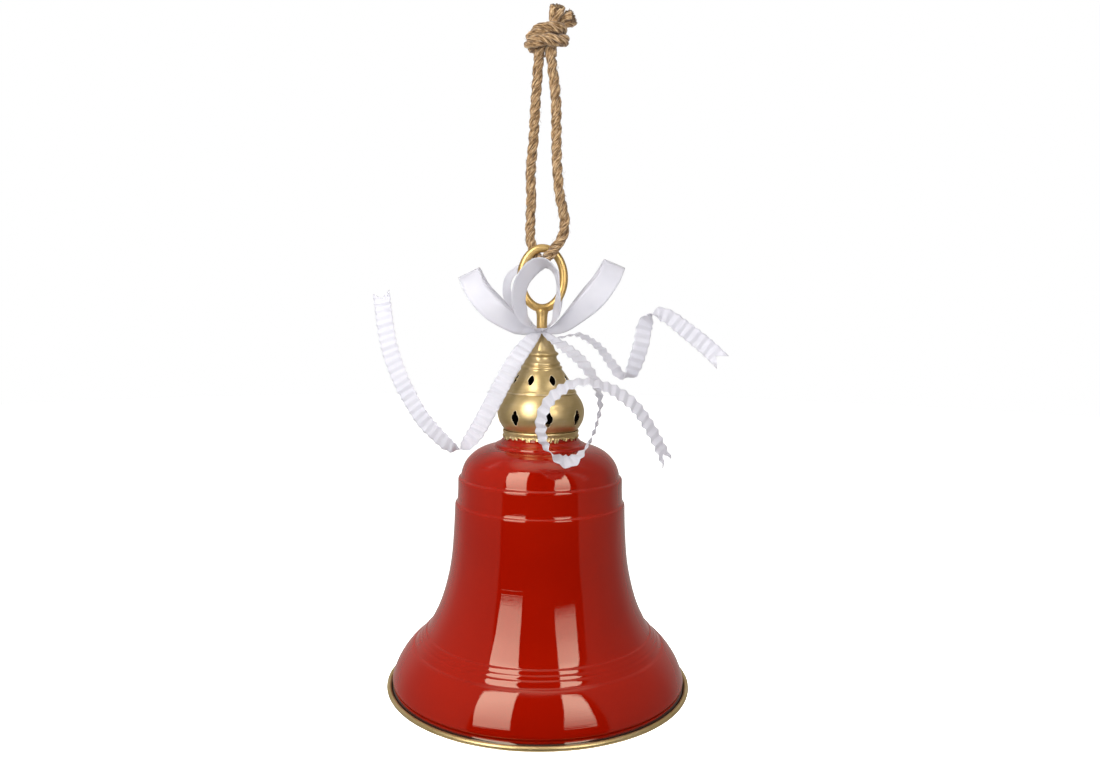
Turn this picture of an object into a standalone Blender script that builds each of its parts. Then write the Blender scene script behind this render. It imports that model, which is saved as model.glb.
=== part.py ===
"""Hanging christmas bell: a spun bell, a pierced gilt crown, a bow and a rope loop.

Every length below is in millimetres.  Heights are measured up from the plane of the
bell's mouth.  The finished object hangs from the world origin, which lies inside the
rope loop right under its knot, with +Z up and the bow and ring facing -Y.
"""
import math

import bmesh
import bpy
from mathutils import Matrix, Vector

MM = 0.001
GAP = 0.3

# Driving dimensions of the bell and its crown
HANG_HEIGHT = 446.0
MOUTH_RADIUS = 110.0
BEAD_TUBE = 1.75
WALL = 1.4
NECK_TOP = 180.2
BELL_SEGMENTS = 44
CROWN_SEGMENTS = 28
CROWN_WALL = 1.0
BULB_RADIUS = 31.2
BULB_HALF_HEIGHT = 23.0
BULB_CENTRE = 199.4
BULB_BOTTOM = 187.0
BULB_TOP = 213.4

# Ring and the rod that holds the stack together
RING_WIRE = 3.0
RING_HALF_WIDTH = 15.2
RING_HALF_HEIGHT = 21.2
RING_CENTRE = 295.0
STEM_RADIUS = 3.8
ROD_RADIUS = 3.0
ROD_END = 165.0

# Clapper, hung from an eye nut by one round link
EYE_RADIUS = 6.0
EYE_WIRE = 1.5
EYE_CENTRE = 153.5
LINK_WIRE = 1.4
CLAPPER_EYE_RADIUS = 4.5
CLAPPER_ROD_RADIUS = 2.2
BALL_RADIUS = 14.0
BALL_CENTRE = 22.0

# Rope and ribbon
ROPE_RADIUS = 3.75
ROPE_WRAP = 7.9
KNOT_CENTRE = (1.7, 0.0, 461.5)
KNOT_HALF_SIZE = (14.5, 10.5, 9.2)
BOW_HEIGHT = 258.0
RIBBON_THICKNESS = 0.8
STREAMER_WIDTH = 13.0

# Joint heights
SWING_HEIGHT = RING_CENTRE + RING_HALF_HEIGHT
LINK_HEIGHT = EYE_CENTRE - EYE_RADIUS
LINK_CENTRE = LINK_HEIGHT + EYE_WIRE + LINK_WIRE + GAP - EYE_RADIUS
CLAPPER_HEIGHT = LINK_CENTRE - EYE_RADIUS
CLAPPER_EYE_CENTRE = CLAPPER_HEIGHT + 2.0 * LINK_WIRE + GAP - CLAPPER_EYE_RADIUS

# Outer face of the bell as (radius, height), from the rim up to the neck's top hole
BELL_OUTER = [
    (106.2, 0.6), (106.2, 2.6), (104.9, 3.6), (104.9, 4.8), (106.0, 6.4),
    (104.9, 11.0), (102.4, 16.8), (97.3, 24.8), (92.2, 30.4), (90.6, 32.0), (88.4, 33.4),
    (82.4, 40.6), (81.4, 42.2), (79.7, 43.4), (76.1, 50.6), (71.2, 61.6), (66.7, 77.0),
    (63.7, 93.5), (62.3, 110.0), (61.6, 123.0), (61.2, 133.6), (59.8, 135.8),
    (59.2, 143.0), (59.3, 150.0), (58.7, 152.4), (57.2, 153.4), (56.5, 157.0),
    (54.6, 162.0), (51.6, 166.4), (47.4, 170.2), (41.6, 173.2), (35.6, 174.8),
    (33.4, 174.8), (32.6, 176.4), (30.6, 177.4), (28.8, 179.0), (27.6, NECK_TOP),
    (ROD_RADIUS + 0.6, NECK_TOP),
]
# Inner face, back down from the neck to the rim
BELL_INNER = [
    (ROD_RADIUS + 0.6, NECK_TOP - WALL), (27.0, NECK_TOP - WALL), (31.4, 173.4),
    (41.0, 171.7), (46.6, 168.8), (50.4, 165.4), (53.2, 161.4), (55.2, 155.0),
    (57.6, 146.0), (58.2, 134.6), (60.8, 110.0), (62.2, 93.3), (65.2, 76.7), (69.8, 60.9),
    (74.8, 49.8), (80.2, 40.9), (89.2, 31.5), (96.2, 23.9), (101.1, 16.2), (103.4, 10.6),
    (103.6, 0.6),
]
# Outer face of the crown's cone, from its lip on the bulb up to the tip
CONE_OUTER = [
    (24.4, BULB_TOP + GAP), (25.0, 214.4), (24.2, 215.4), (22.6, 218.0), (20.8, 221.4),
    (18.6, 225.0), (16.2, 228.6), (14.5, 230.4), (15.0, 231.6), (13.4, 233.0),
    (13.3, 234.8), (12.2, 236.2), (10.9, 238.0), (10.7, 239.4), (12.0, 240.6),
    (12.1, 241.8), (10.6, 243.0), (9.4, 244.6), (8.2, 248.0), (6.6, 251.4), (5.2, 254.2),
    (STEM_RADIUS + 0.4, 254.4),
]
CONE_INNER = [
    (STEM_RADIUS + 0.4, 252.4), (6.0, 249.0), (8.2, 243.0), (9.4, 238.6), (10.8, 234.6),
    (13.0, 230.0), (17.4, 225.0), (20.2, 220.2), (22.0, 216.6), (22.8, BULB_TOP + GAP),
]
COLLAR = [
    (25.2, 180.5), (27.1, 180.5), (27.5, 182.4), (26.6, 184.4), (26.5, 186.7), (25.2, 186.7),
]

# Pierced rows of the crown: count, first azimuth from the front, height, half outline
BULB_HOLES = (8, 10.0, 197.6, [(0.0, 5.0), (1.5, 3.2), (2.6, 1.4), (2.6, -1.4), (1.5, -3.2)])
CONE_HOLES = (8, 24.0, 223.4, [(0.0, 3.7), (2.1, 0.0)])

# Rope centre line as (x, y, height): down behind the ring, under its wire, up in front
ROPE_ROUTE = [
    (-3.95, 0.6, 451.9), (-4.6, 1.6, 443.0), (-6.2, 3.8, 419.0), (-7.6, 5.2, 391.0),
    (-9.2, 6.4, 371.0), (-8.8, 7.2, 350.0), (-9.3, 8.0, 331.0), (-8.4, 8.3, 319.5),
    (-5.2, 7.5, 311.5), (0.0, 0.0, SWING_HEIGHT - ROPE_WRAP), (5.2, -7.5, 311.5),
    (10.2, -8.8, 318.0), (14.0, -8.3, 324.5), (15.3, -7.6, 332.0),
    (14.2, -6.8, 341.0), (11.6, -6.4, 352.0), (9.6, -6.0, 371.0), (8.7, -5.0, 391.0),
    (8.0, -3.8, 419.0), (5.2, -1.6, 441.0), (4.0, -0.6, 451.9),
]
TAIL_UP_ROUTE = [(5.0, -2.6, 471.3), (6.0, -2.9, 475.5), (7.8, -3.0, 483.0)]
TAIL_SIDE_ROUTE = [(12.9, 2.4, 471.2), (17.0, 2.7, 474.2), (22.6, 2.8, 477.6)]

# Ribbons as stations: centre (x, y, height), direction across the ribbon, width
LOOP_LEFT = [
    ((-9.0, 0.0, 257.5), (0.70, 0.0, 0.71), 5.0), ((-12.5, -7.0, 259.0), (0.72, 0.0, 0.69), 8.0),
    ((-18.0, -12.0, 261.5), (0.74, 0.0, 0.67), 11.0), ((-34.0, -18.0, 272.5), (0.81, 0.0, 0.58), 16.0),
    ((-45.0, -15.0, 284.5), (0.92, 0.0, 0.40), 16.0), ((-51.0, -8.5, 296.0), (0.90, 0.0, 0.45), 16.0),
    ((-52.0, -2.0, 298.5), (0.90, 0.0, 0.45), 16.0), ((-51.0, 5.0, 297.0), (0.90, 0.0, 0.45), 16.0),
    ((-45.0, 13.0, 286.0), (0.90, 0.0, 0.43), 16.0), ((-33.0, 15.5, 273.0), (0.81, 0.0, 0.58), 16.0),
    ((-19.0, 12.0, 262.0), (0.74, 0.0, 0.67), 11.0), ((-13.0, 6.5, 259.0), (0.72, 0.0, 0.69), 8.0),
]
LOOP_RIGHT = [
    ((9.0, 0.0, 257.5), (0.70, 0.0, -0.71), 5.0), ((13.0, -7.0, 260.5), (0.72, 0.0, -0.69), 8.0),
    ((19.5, -12.5, 265.5), (0.76, 0.0, -0.65), 12.0), ((34.5, -18.0, 279.5), (0.83, 0.0, -0.56), 16.0),
    ((45.0, -15.0, 293.0), (0.94, 0.0, -0.34), 16.0), ((50.0, -8.5, 303.5), (0.92, 0.0, -0.38), 16.0),
    ((51.0, -2.0, 306.0), (0.92, 0.0, -0.38), 16.0), ((50.0, 5.0, 304.5), (0.92, 0.0, -0.38), 16.0),
    ((44.0, 13.0, 294.0), (0.90, 0.0, -0.43), 16.0), ((33.0, 15.5, 280.0), (0.83, 0.0, -0.56), 16.0),
    ((20.0, 12.0, 266.0), (0.76, 0.0, -0.65), 12.0), ((13.5, 6.5, 260.5), (0.72, 0.0, -0.69), 8.0),
]
LOOP_FRONT = [
    ((0.0, -9.0, 258.0), (0.0, -0.96, 0.29), 5.0), ((-6.5, -11.5, 261.0), (-0.40, -0.85, 0.30), 9.0),
    ((-13.0, -16.5, 268.6), (-0.57, -0.75, 0.25), 14.0), ((-16.0, -20.0, 279.0), (-0.50, -0.80, 0.28), 16.0),
    ((-14.0, -22.5, 291.5), (-0.54, -0.80, 0.27), 16.0), ((-6.2, -23.0, 301.8), (-0.55, -0.75, 0.35), 16.0),
    ((2.5, -23.3, 304.3), (-0.35, -0.85, 0.42), 16.0), ((9.1, -22.5, 298.0), (0.0, -0.92, 0.40), 16.0),
    ((11.4, -20.0, 284.8), (0.12, -0.98, 0.20), 16.0), ((9.8, -14.5, 270.2), (0.40, -0.85, 0.20), 12.0),
    ((5.5, -11.0, 262.0), (0.30, -0.90, 0.30), 8.0),
]
LOOP_BACK = [
    ((0.0, 9.0, 258.0), (0.0, 0.96, 0.29), 5.0), ((-7.5, 12.0, 262.0), (-0.50, 0.80, 0.20), 9.0),
    ((-15.5, 16.0, 269.5), (-0.60, 0.75, 0.20), 14.0), ((-24.0, 20.0, 279.0), (-0.50, 0.85, 0.10), 16.0),
    ((-26.5, 22.0, 288.5), (-0.40, 0.90, 0.0), 16.0), ((-23.5, 23.5, 298.0), (-0.40, 0.90, 0.10), 16.0),
    ((-14.0, 24.5, 304.0), (-0.30, 0.90, 0.30), 16.0), ((-2.5, 24.5, 306.0), (0.0, 0.95, 0.30), 16.0),
    ((9.0, 24.0, 301.5), (0.10, 0.95, 0.20), 16.0), ((14.5, 21.5, 288.0), (0.05, 1.0, 0.0), 16.0),
    ((12.0, 16.5, 270.5), (0.20, 0.95, 0.10), 12.0), ((6.0, 11.5, 262.0), (0.20, 0.90, 0.20), 8.0),
]
STREAMER_LEFT = [
    ((-5.5, -8.6, 254.2), (0.95, 0.0, -0.25), 5.0), ((-12.5, -13.5, 245.5), (0.90, -0.30, -0.25), 10.0),
    ((-20.5, -19.0, 233.5), (0.90, -0.35, -0.25), STREAMER_WIDTH),
    ((-32.5, -26.5, 210.5), (0.90, -0.35, -0.25), STREAMER_WIDTH),
    ((-43.0, -32.0, 190.5), (0.90, -0.40, -0.20), STREAMER_WIDTH),
    ((-50.0, -34.0, 181.0), (0.80, -0.55, 0.0), STREAMER_WIDTH),
    ((-55.5, -35.0, 178.0), (0.75, -0.60, 0.20), STREAMER_WIDTH),
    ((-62.5, -35.0, 180.0), (0.70, -0.60, 0.40), STREAMER_WIDTH),
    ((-72.0, -33.0, 188.0), (0.70, -0.50, 0.50), STREAMER_WIDTH),
    ((-83.0, -30.0, 200.0), (0.75, -0.40, 0.50), STREAMER_WIDTH),
    ((-97.5, -24.0, 224.5), (0.85, -0.35, 0.35), STREAMER_WIDTH),
    ((-107.0, -18.0, 250.5), (0.90, -0.30, 0.25), STREAMER_WIDTH),
    ((-113.0, -10.0, 284.0), (0.95, -0.30, 0.10), STREAMER_WIDTH),
]
STREAMER_RIGHT = [
    ((8.6, 5.6, 252.6), (-0.40, 0.90, 0.0), 5.0), ((16.0, 4.4, 253.6), (0.20, 0.95, 0.10), 9.0),
    ((25.5, 2.0, 255.4), (0.35, 0.90, 0.10), STREAMER_WIDTH),
    ((34.0, -2.0, 251.6), (0.40, 0.85, 0.10), STREAMER_WIDTH),
    ((41.5, -6.0, 246.0), (0.40, 0.85, 0.10), STREAMER_WIDTH),
    ((50.0, -10.0, 235.0), (0.50, 0.80, 0.10), STREAMER_WIDTH),
    ((56.5, -13.0, 227.0), (0.60, 0.75, 0.10), STREAMER_WIDTH),
    ((62.0, -15.0, 227.5), (0.75, 0.65, 0.0), STREAMER_WIDTH),
    ((66.0, -16.0, 237.0), (0.85, 0.50, -0.10), STREAMER_WIDTH),
    ((69.5, -16.5, 250.0), (0.88, 0.45, -0.15), STREAMER_WIDTH),
    ((72.5, -16.0, 264.0), (0.85, 0.50, 0.0), STREAMER_WIDTH),
    ((79.5, -16.0, 271.0), (0.60, 0.65, 0.50), STREAMER_WIDTH),
    ((88.0, -17.0, 269.0), (0.55, 0.60, 0.60), STREAMER_WIDTH),
    ((97.0, -18.0, 262.5), (0.60, 0.50, 0.65), STREAMER_WIDTH),
    ((113.5, -20.0, 249.5), (0.65, 0.35, 0.68), STREAMER_WIDTH),
    ((126.0, -22.0, 238.0), (0.70, 0.30, 0.66), STREAMER_WIDTH),
]
STREAMER_FRONT = [
    ((3.6, -8.6, 254.2), (0.90, 0.20, 0.20), 4.5), ((14.3, -18.0, 248.5), (0.75, 0.55, 0.35), 9.0),
    ((26.5, -30.0, 239.0), (0.65, 0.65, 0.35), STREAMER_WIDTH),
    ((36.0, -40.0, 226.0), (0.50, 0.80, 0.30), STREAMER_WIDTH),
    ((39.5, -46.5, 212.5), (0.25, 0.95, 0.20), STREAMER_WIDTH),
    ((37.5, -53.0, 198.5), (0.20, 0.95, 0.20), STREAMER_WIDTH),
    ((31.0, -59.0, 184.5), (0.35, 0.85, 0.35), STREAMER_WIDTH),
    ((20.0, -64.0, 175.0), (0.10, 0.85, 0.45), STREAMER_WIDTH),
    ((8.5, -66.0, 178.5), (-0.30, 0.85, 0.30), STREAMER_WIDTH),
    ((1.5, -66.0, 190.0), (-0.50, 0.85, 0.0), STREAMER_WIDTH),
    ((1.0, -66.0, 204.0), (-0.50, 0.85, 0.0), STREAMER_WIDTH),
    ((7.0, -67.0, 216.0), (-0.40, 0.85, 0.20), STREAMER_WIDTH),
    ((17.5, -69.0, 224.5), (-0.20, 0.90, 0.30), STREAMER_WIDTH),
    ((28.0, -70.0, 227.5), (0.10, 0.95, 0.25), STREAMER_WIDTH),
    ((39.0, -70.0, 225.5), (0.20, 0.90, 0.35), STREAMER_WIDTH),
    ((50.5, -68.0, 220.0), (0.40, 0.75, 0.50), STREAMER_WIDTH),
    ((62.5, -66.0, 210.5), (0.55, 0.65, 0.50), STREAMER_WIDTH),
    ((74.0, -64.0, 193.5), (0.70, 0.60, 0.35), STREAMER_WIDTH),
    ((84.0, -62.0, 173.5), (0.75, 0.60, 0.25), STREAMER_WIDTH),
]

# Finishes: base colour, roughness, metallic
FINISHES = {
    "red_enamel": ((0.38, 0.012, 0.004), 0.12, 0.0),
    "gold_paint": ((0.58, 0.38, 0.13), 0.32, 1.0),
    "zinc_steel": ((0.55, 0.55, 0.56), 0.35, 1.0),
    "jute": ((0.42, 0.26, 0.13), 0.90, 0.0),
    "ribbon": ((0.86, 0.86, 0.90), 0.35, 0.0),
}


def clear_scene():
    for obj in list(bpy.data.objects):
        bpy.data.objects.remove(obj, do_unlink=True)


def make_materials():
    made = {}
    for name, (colour, roughness, metallic) in FINISHES.items():
        mat = bpy.data.materials.new(name)
        mat.use_nodes = True
        shader = mat.node_tree.nodes["Principled BSDF"]
        shader.inputs["Base Color"].default_value = (*colour, 1.0)
        shader.inputs["Roughness"].default_value = roughness
        shader.inputs["Metallic"].default_value = metallic
        made[name] = mat
    return made


def world(x, y, height):
    """A point given in millimetres from the mouth plane, in world metres."""
    return Vector((x, y, height - HANG_HEIGHT)) * MM


def make_pivot(name, height, parent=None):
    """An empty on a joint's axis, which every piece of that body is parented to."""
    pivot = bpy.data.objects.new(name, None)
    pivot.empty_display_size = 0.01
    bpy.context.collection.objects.link(pivot)
    at = world(0.0, 0.0, height)
    if parent is not None:
        pivot.parent = parent
        at = at - world(0.0, 0.0, parent["height"])
    pivot.location = at
    pivot["height"] = height
    return pivot


def add_object(name, data, finish, pivot, smooth=True):
    """Link a mesh or curve made in world coordinates as a child of its body's pivot."""
    data.transform(Matrix.Translation(-world(0.0, 0.0, pivot["height"])))
    obj = bpy.data.objects.new(name, data)
    bpy.context.collection.objects.link(obj)
    obj.parent = pivot
    data.materials.append(MATERIALS[finish])
    if smooth and obj.type == "MESH":
        data.shade_smooth()
        data.set_sharp_from_angle(angle=math.radians(40.0))
    return obj


def mesh_from(bm, name):
    bmesh.ops.recalc_face_normals(bm, faces=bm.faces)
    mesh = bpy.data.meshes.new(name)
    bm.to_mesh(mesh)
    bm.free()
    return mesh


def lathe(name, outline, segments):
    """Turn an outline of (radius, height) about the bell's axis.

    An outline that starts and ends on the axis is left open there; any other is closed.
    """
    bm = bmesh.new()
    verts = [bm.verts.new(world(r, 0.0, h)) for r, h in outline]
    edges = [bm.edges.new(pair) for pair in zip(verts, verts[1:])]
    if outline[0][0] > 0.0:
        edges.append(bm.edges.new((verts[-1], verts[0])))
    bmesh.ops.spin(bm, geom=verts + edges, axis=(0, 0, 1), cent=(0, 0, 0),
                   angle=math.tau, steps=segments, use_merge=True)
    bmesh.ops.remove_doubles(bm, verts=bm.verts, dist=1e-6)
    return mesh_from(bm, name)


def arc(radius_x, radius_z, centre_z, start, end, count):
    """Points of an ellipse about the axis, by angle from the horizontal."""
    angles = [math.radians(start + (end - start) * i / (count - 1)) for i in range(count)]
    return [(radius_x * math.cos(a), centre_z + radius_z * math.sin(a)) for a in angles]


def torus(name, radius, wire, centre, axis, segments=20, sides=8):
    """A ring of round wire; axis is the normal of the ring's plane, X, Y or Z."""
    turn = {"X": Matrix.Rotation(math.pi / 2, 4, "Y"), "Z": Matrix.Identity(4),
            "Y": Matrix.Rotation(math.pi / 2, 4, "X")}[axis]
    bm = bmesh.new()
    rim = [Vector((radius + wire * math.cos(math.tau * i / sides), 0.0,
                   wire * math.sin(math.tau * i / sides))) * MM for i in range(sides)]
    verts = [bm.verts.new(p) for p in rim]
    edges = [bm.edges.new((verts[i - 1], verts[i])) for i in range(sides)]
    bmesh.ops.spin(bm, geom=verts + edges, axis=(0, 0, 1), cent=(0, 0, 0),
                   angle=math.tau, steps=segments, use_merge=True)
    bmesh.ops.transform(bm, matrix=Matrix.Translation(world(*centre)) @ turn, verts=bm.verts)
    return mesh_from(bm, name)


def smooth_points(points, per_span, closed=False):
    """Catmull-Rom curve through tuples of any length."""
    count = len(points)
    spans = count if closed else count - 1

    def pick(i):
        return points[i % count] if closed else points[max(0, min(count - 1, i))]

    out = []
    for i in range(spans):
        p0, p1, p2, p3 = (pick(i + k) for k in (-1, 0, 1, 2))
        for step in range(per_span):
            t = step / per_span
            out.append(tuple(
                0.5 * (2 * b + (c - a) * t + (2 * a - 5 * b + 4 * c - d) * t * t
                       + (3 * b - a - 3 * c + d) * t ** 3)
                for a, b, c, d in zip(p0, p1, p2, p3)))
    if not closed:
        out.append(tuple(points[-1]))
    return out


def tube_curve(name, points, radius, cyclic=False, resolution=3):
    """A round tube along points in millimetres, with filled caps when it is open."""
    curve = bpy.data.curves.new(name, "CURVE")
    curve.dimensions = "3D"
    curve.bevel_depth = radius * MM
    curve.bevel_resolution = resolution
    curve.use_fill_caps = not cyclic
    curve.resolution_u = 1
    curve.render_resolution_u = 0
    spline = curve.splines.new("POLY")
    spline.points.add(len(points) - 1)
    for point, at in zip(spline.points, points):
        point.co = (*world(*at), 1.0)
    spline.use_cyclic_u = cyclic
    return curve


def ribbon(name, stations, per_span, closed=False):
    """A flat strip through its stations, as one thin closed solid."""
    packed = [(*centre, *across, width) for centre, across, width in stations]
    rows = smooth_points(packed, per_span, closed)
    centres = [Vector(row[0:3]) for row in rows]
    count = len(rows)
    bm = bmesh.new()
    rings = []
    for i, row in enumerate(rows):
        ahead = centres[(i + 1) % count] if closed else centres[min(i + 1, count - 1)]
        behind = centres[i - 1] if closed else centres[max(i - 1, 0)]
        along = (ahead - behind).normalized()
        hint = Vector(row[3:6])
        across = (hint - along * hint.dot(along)).normalized() * row[6] / 2.0
        face = along.cross(across).normalized() * RIBBON_THICKNESS / 2.0
        corners = [across + face, face - across, -across - face, across - face]
        rings.append([bm.verts.new(world(*(centres[i] + c))) for c in corners])
    last = count if closed else count - 1
    for i in range(last):
        here, there = rings[i], rings[(i + 1) % count]
        for k in range(4):
            bm.faces.new((here[k], here[(k + 1) % 4], there[(k + 1) % 4], there[k]))
    if not closed:
        bm.faces.new(rings[0][::-1])
        bm.faces.new(rings[-1])
    return mesh_from(bm, name)


def hole_cutter(name, row, inner, outer, pivot):
    """Radial prisms that pierce one row of the crown, as a hidden Boolean cutter."""
    count, first, height, half = row
    outline = half + [(0.0, -half[0][1])] + [(-x, z) for x, z in half[:0:-1]]
    bm = bmesh.new()
    for i in range(count):
        angle = math.radians(first + 360.0 * i / count)
        outward = Vector((math.sin(angle), -math.cos(angle), 0.0))
        sideways = Vector((math.cos(angle), math.sin(angle), 0.0))
        ends = []
        for radius in (inner, outer):
            points = [outward * radius + sideways * u + Vector((0, 0, height + v))
                      for u, v in outline]
            ends.append([bm.verts.new(world(*p)) for p in points])
        sides = len(outline)
        for k in range(sides):
            n = (k + 1) % sides
            bm.faces.new((ends[0][k], ends[0][n], ends[1][n], ends[1][k]))
        bm.faces.new(ends[0][::-1])
        bm.faces.new(ends[1])
    cutter = add_object(name, mesh_from(bm, name), "gold_paint", pivot, smooth=False)
    cutter.hide_render = True
    cutter.display_type = "WIRE"
    return cutter


def boolean(obj, operand, operation):
    mod = obj.modifiers.new(operation.title(), "BOOLEAN")
    mod.operation = operation
    mod.object = operand


def hidden_operand(name, mesh, finish, pivot):
    """A closed shape that is only there to be joined into another piece."""
    operand = add_object(name, mesh, finish, pivot, smooth=False)
    operand.hide_render = True
    operand.display_type = "WIRE"
    return operand


def hex_nut(name, across_flats, bore, bottom, top):
    """A plain hexagon nut around the bell's axis."""
    bm = bmesh.new()
    corner = across_flats / math.sqrt(3.0)
    bore_corner = bore / math.cos(math.radians(30.0))
    levels = []
    for height in (bottom, top):
        ring = []
        for radius in (corner, bore_corner):
            ring.append([bm.verts.new(world(radius * math.cos(math.radians(60 * i)),
                                            radius * math.sin(math.radians(60 * i)), height))
                         for i in range(6)])
        levels.append(ring)
    (low_out, low_in), (high_out, high_in) = levels
    for i in range(6):
        n = (i + 1) % 6
        bm.faces.new((low_out[i], low_out[n], high_out[n], high_out[i]))
        bm.faces.new((low_in[i], high_in[i], high_in[n], low_in[n]))
        bm.faces.new((high_out[i], high_out[n], high_in[n], high_in[i]))
        bm.faces.new((low_out[i], low_in[i], low_in[n], low_out[n]))
    return mesh_from(bm, name)


def build_rope(pivot):
    route = smooth_points(ROPE_ROUTE, 3)
    add_object("rope_loop", tube_curve("rope_loop", route, ROPE_RADIUS), "jute", pivot)
    bm = bmesh.new()
    bmesh.ops.create_uvsphere(bm, u_segments=20, v_segments=12, radius=1.0)
    size = Matrix.Diagonal((*[s * MM for s in KNOT_HALF_SIZE], 1.0))
    bmesh.ops.transform(bm, matrix=Matrix.Translation(world(*KNOT_CENTRE)) @ size, verts=bm.verts)
    add_object("rope_knot", mesh_from(bm, "rope_knot"), "jute", pivot)
    for name, route in (("rope_tail_up", TAIL_UP_ROUTE), ("rope_tail_side", TAIL_SIDE_ROUTE)):
        points = smooth_points(route, 2)
        add_object(name, tube_curve(name, points, ROPE_RADIUS), "jute", pivot)


def build_bell(pivot):
    add_object("bell_shell", lathe("bell_shell", BELL_OUTER + BELL_INNER, BELL_SEGMENTS), "red_enamel", pivot)
    bead_radius = MOUTH_RADIUS - BEAD_TUBE
    bead = torus("rim_bead", bead_radius, BEAD_TUBE, (0.0, 0.0, BEAD_TUBE), "Z", BELL_SEGMENTS, 6)
    add_object("rim_bead", bead, "gold_paint", pivot)
    add_object("crown_collar", lathe("crown_collar", COLLAR, CROWN_SEGMENTS), "gold_paint", pivot)

    low = math.degrees(math.asin((BULB_BOTTOM - BULB_CENTRE) / BULB_HALF_HEIGHT))
    high = math.degrees(math.asin((BULB_TOP - BULB_CENTRE) / BULB_HALF_HEIGHT))
    outer = arc(BULB_RADIUS, BULB_HALF_HEIGHT, BULB_CENTRE, low, high, 10)
    inner = arc(BULB_RADIUS - CROWN_WALL, BULB_HALF_HEIGHT, BULB_CENTRE, high, low, 8)
    bulb = add_object("crown_bulb", lathe("crown_bulb", outer + inner, CROWN_SEGMENTS), "gold_paint", pivot)
    boolean(bulb, hole_cutter("bulb_hole_cutter", BULB_HOLES, 26.0, 36.0, pivot), "DIFFERENCE")

    cone_mesh = lathe("crown_cone", CONE_OUTER + CONE_INNER, CROWN_SEGMENTS)
    cone = add_object("crown_cone", cone_mesh, "gold_paint", pivot)
    boolean(cone, hole_cutter("cone_hole_cutter", CONE_HOLES, 10.0, 28.0, pivot), "DIFFERENCE")

    ring_points = [(RING_HALF_WIDTH * math.cos(math.tau * i / 32), 0.0,
                    RING_CENTRE + RING_HALF_HEIGHT * math.sin(math.tau * i / 32))
                   for i in range(32)]
    ring_curve = tube_curve("ring_wire", ring_points, RING_WIRE, cyclic=True)
    ring_guide = bpy.data.objects.new("ring_guide", ring_curve)
    ring_mesh = bpy.data.meshes.new_from_object(ring_guide)
    bpy.data.objects.remove(ring_guide)
    ring = hidden_operand("ring_operand", ring_mesh, "gold_paint", pivot)
    foot = RING_CENTRE - RING_HALF_HEIGHT
    rod_outline = [
        (0.0, foot + 0.6), (4.4, foot - 0.4), (4.4, foot - 3.2), (STEM_RADIUS, foot - 6.0),
        (STEM_RADIUS, 250.0), (ROD_RADIUS, 249.0), (ROD_RADIUS, ROD_END), (0.0, ROD_END),
    ]
    eye_rod = add_object("hanger_eye_rod", lathe("hanger_eye_rod", rod_outline, 20),
                         "gold_paint", pivot)
    boolean(eye_rod, ring, "UNION")

    bore = ROD_RADIUS + GAP
    washer_top = NECK_TOP - WALL - GAP
    washer = [(bore + 0.2, washer_top - 1.6), (12.0, washer_top - 1.6),
              (12.0, washer_top), (bore + 0.2, washer_top)]
    add_object("inner_washer", lathe("inner_washer", washer, 28), "zinc_steel", pivot)
    nut_top = washer_top - 1.6 - GAP
    add_object("inner_nut", hex_nut("inner_nut", 10.0, bore, nut_top - 5.0, nut_top),
               "zinc_steel", pivot, smooth=False)

    shank_top = nut_top - 5.0 - GAP
    shank = [(0.0, EYE_CENTRE + EYE_RADIUS - 0.8), (4.0, EYE_CENTRE + EYE_RADIUS - 0.4),
             (5.0, EYE_CENTRE + EYE_RADIUS + 2.0), (5.0, shank_top), (bore, shank_top),
             (bore, ROD_END - 1.0), (0.0, ROD_END - 1.0)]
    eye_nut = add_object("clapper_eye_nut", lathe("clapper_eye_nut", shank, 20),
                         "zinc_steel", pivot)
    eye_mesh = torus("eye_operand", EYE_RADIUS, EYE_WIRE, (0.0, 0.0, EYE_CENTRE), "Y")
    boolean(eye_nut, hidden_operand("eye_operand", eye_mesh, "zinc_steel", pivot), "UNION")


def build_bow(pivot):
    bore = STEM_RADIUS + GAP
    tie = [(bore, BOW_HEIGHT - 1.5), (bore + 1.4, BOW_HEIGHT - 1.5),
           (bore + 1.4, BOW_HEIGHT + 1.5), (bore, BOW_HEIGHT + 1.5)]
    add_object("bow_tie", lathe("bow_tie", tie, 20), "ribbon", pivot)
    loops = {"bow_loop_left": LOOP_LEFT, "bow_loop_right": LOOP_RIGHT,
             "bow_loop_front": LOOP_FRONT, "bow_loop_back": LOOP_BACK}
    for name, stations in loops.items():
        add_object(name, ribbon(name, stations, 3, closed=True), "ribbon", pivot)
    streamers = {"streamer_left": STREAMER_LEFT, "streamer_right": STREAMER_RIGHT,
                 "streamer_front": STREAMER_FRONT}
    for name, stations in streamers.items():
        add_object(name, ribbon(name, stations, 3), "ribbon", pivot)


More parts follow.
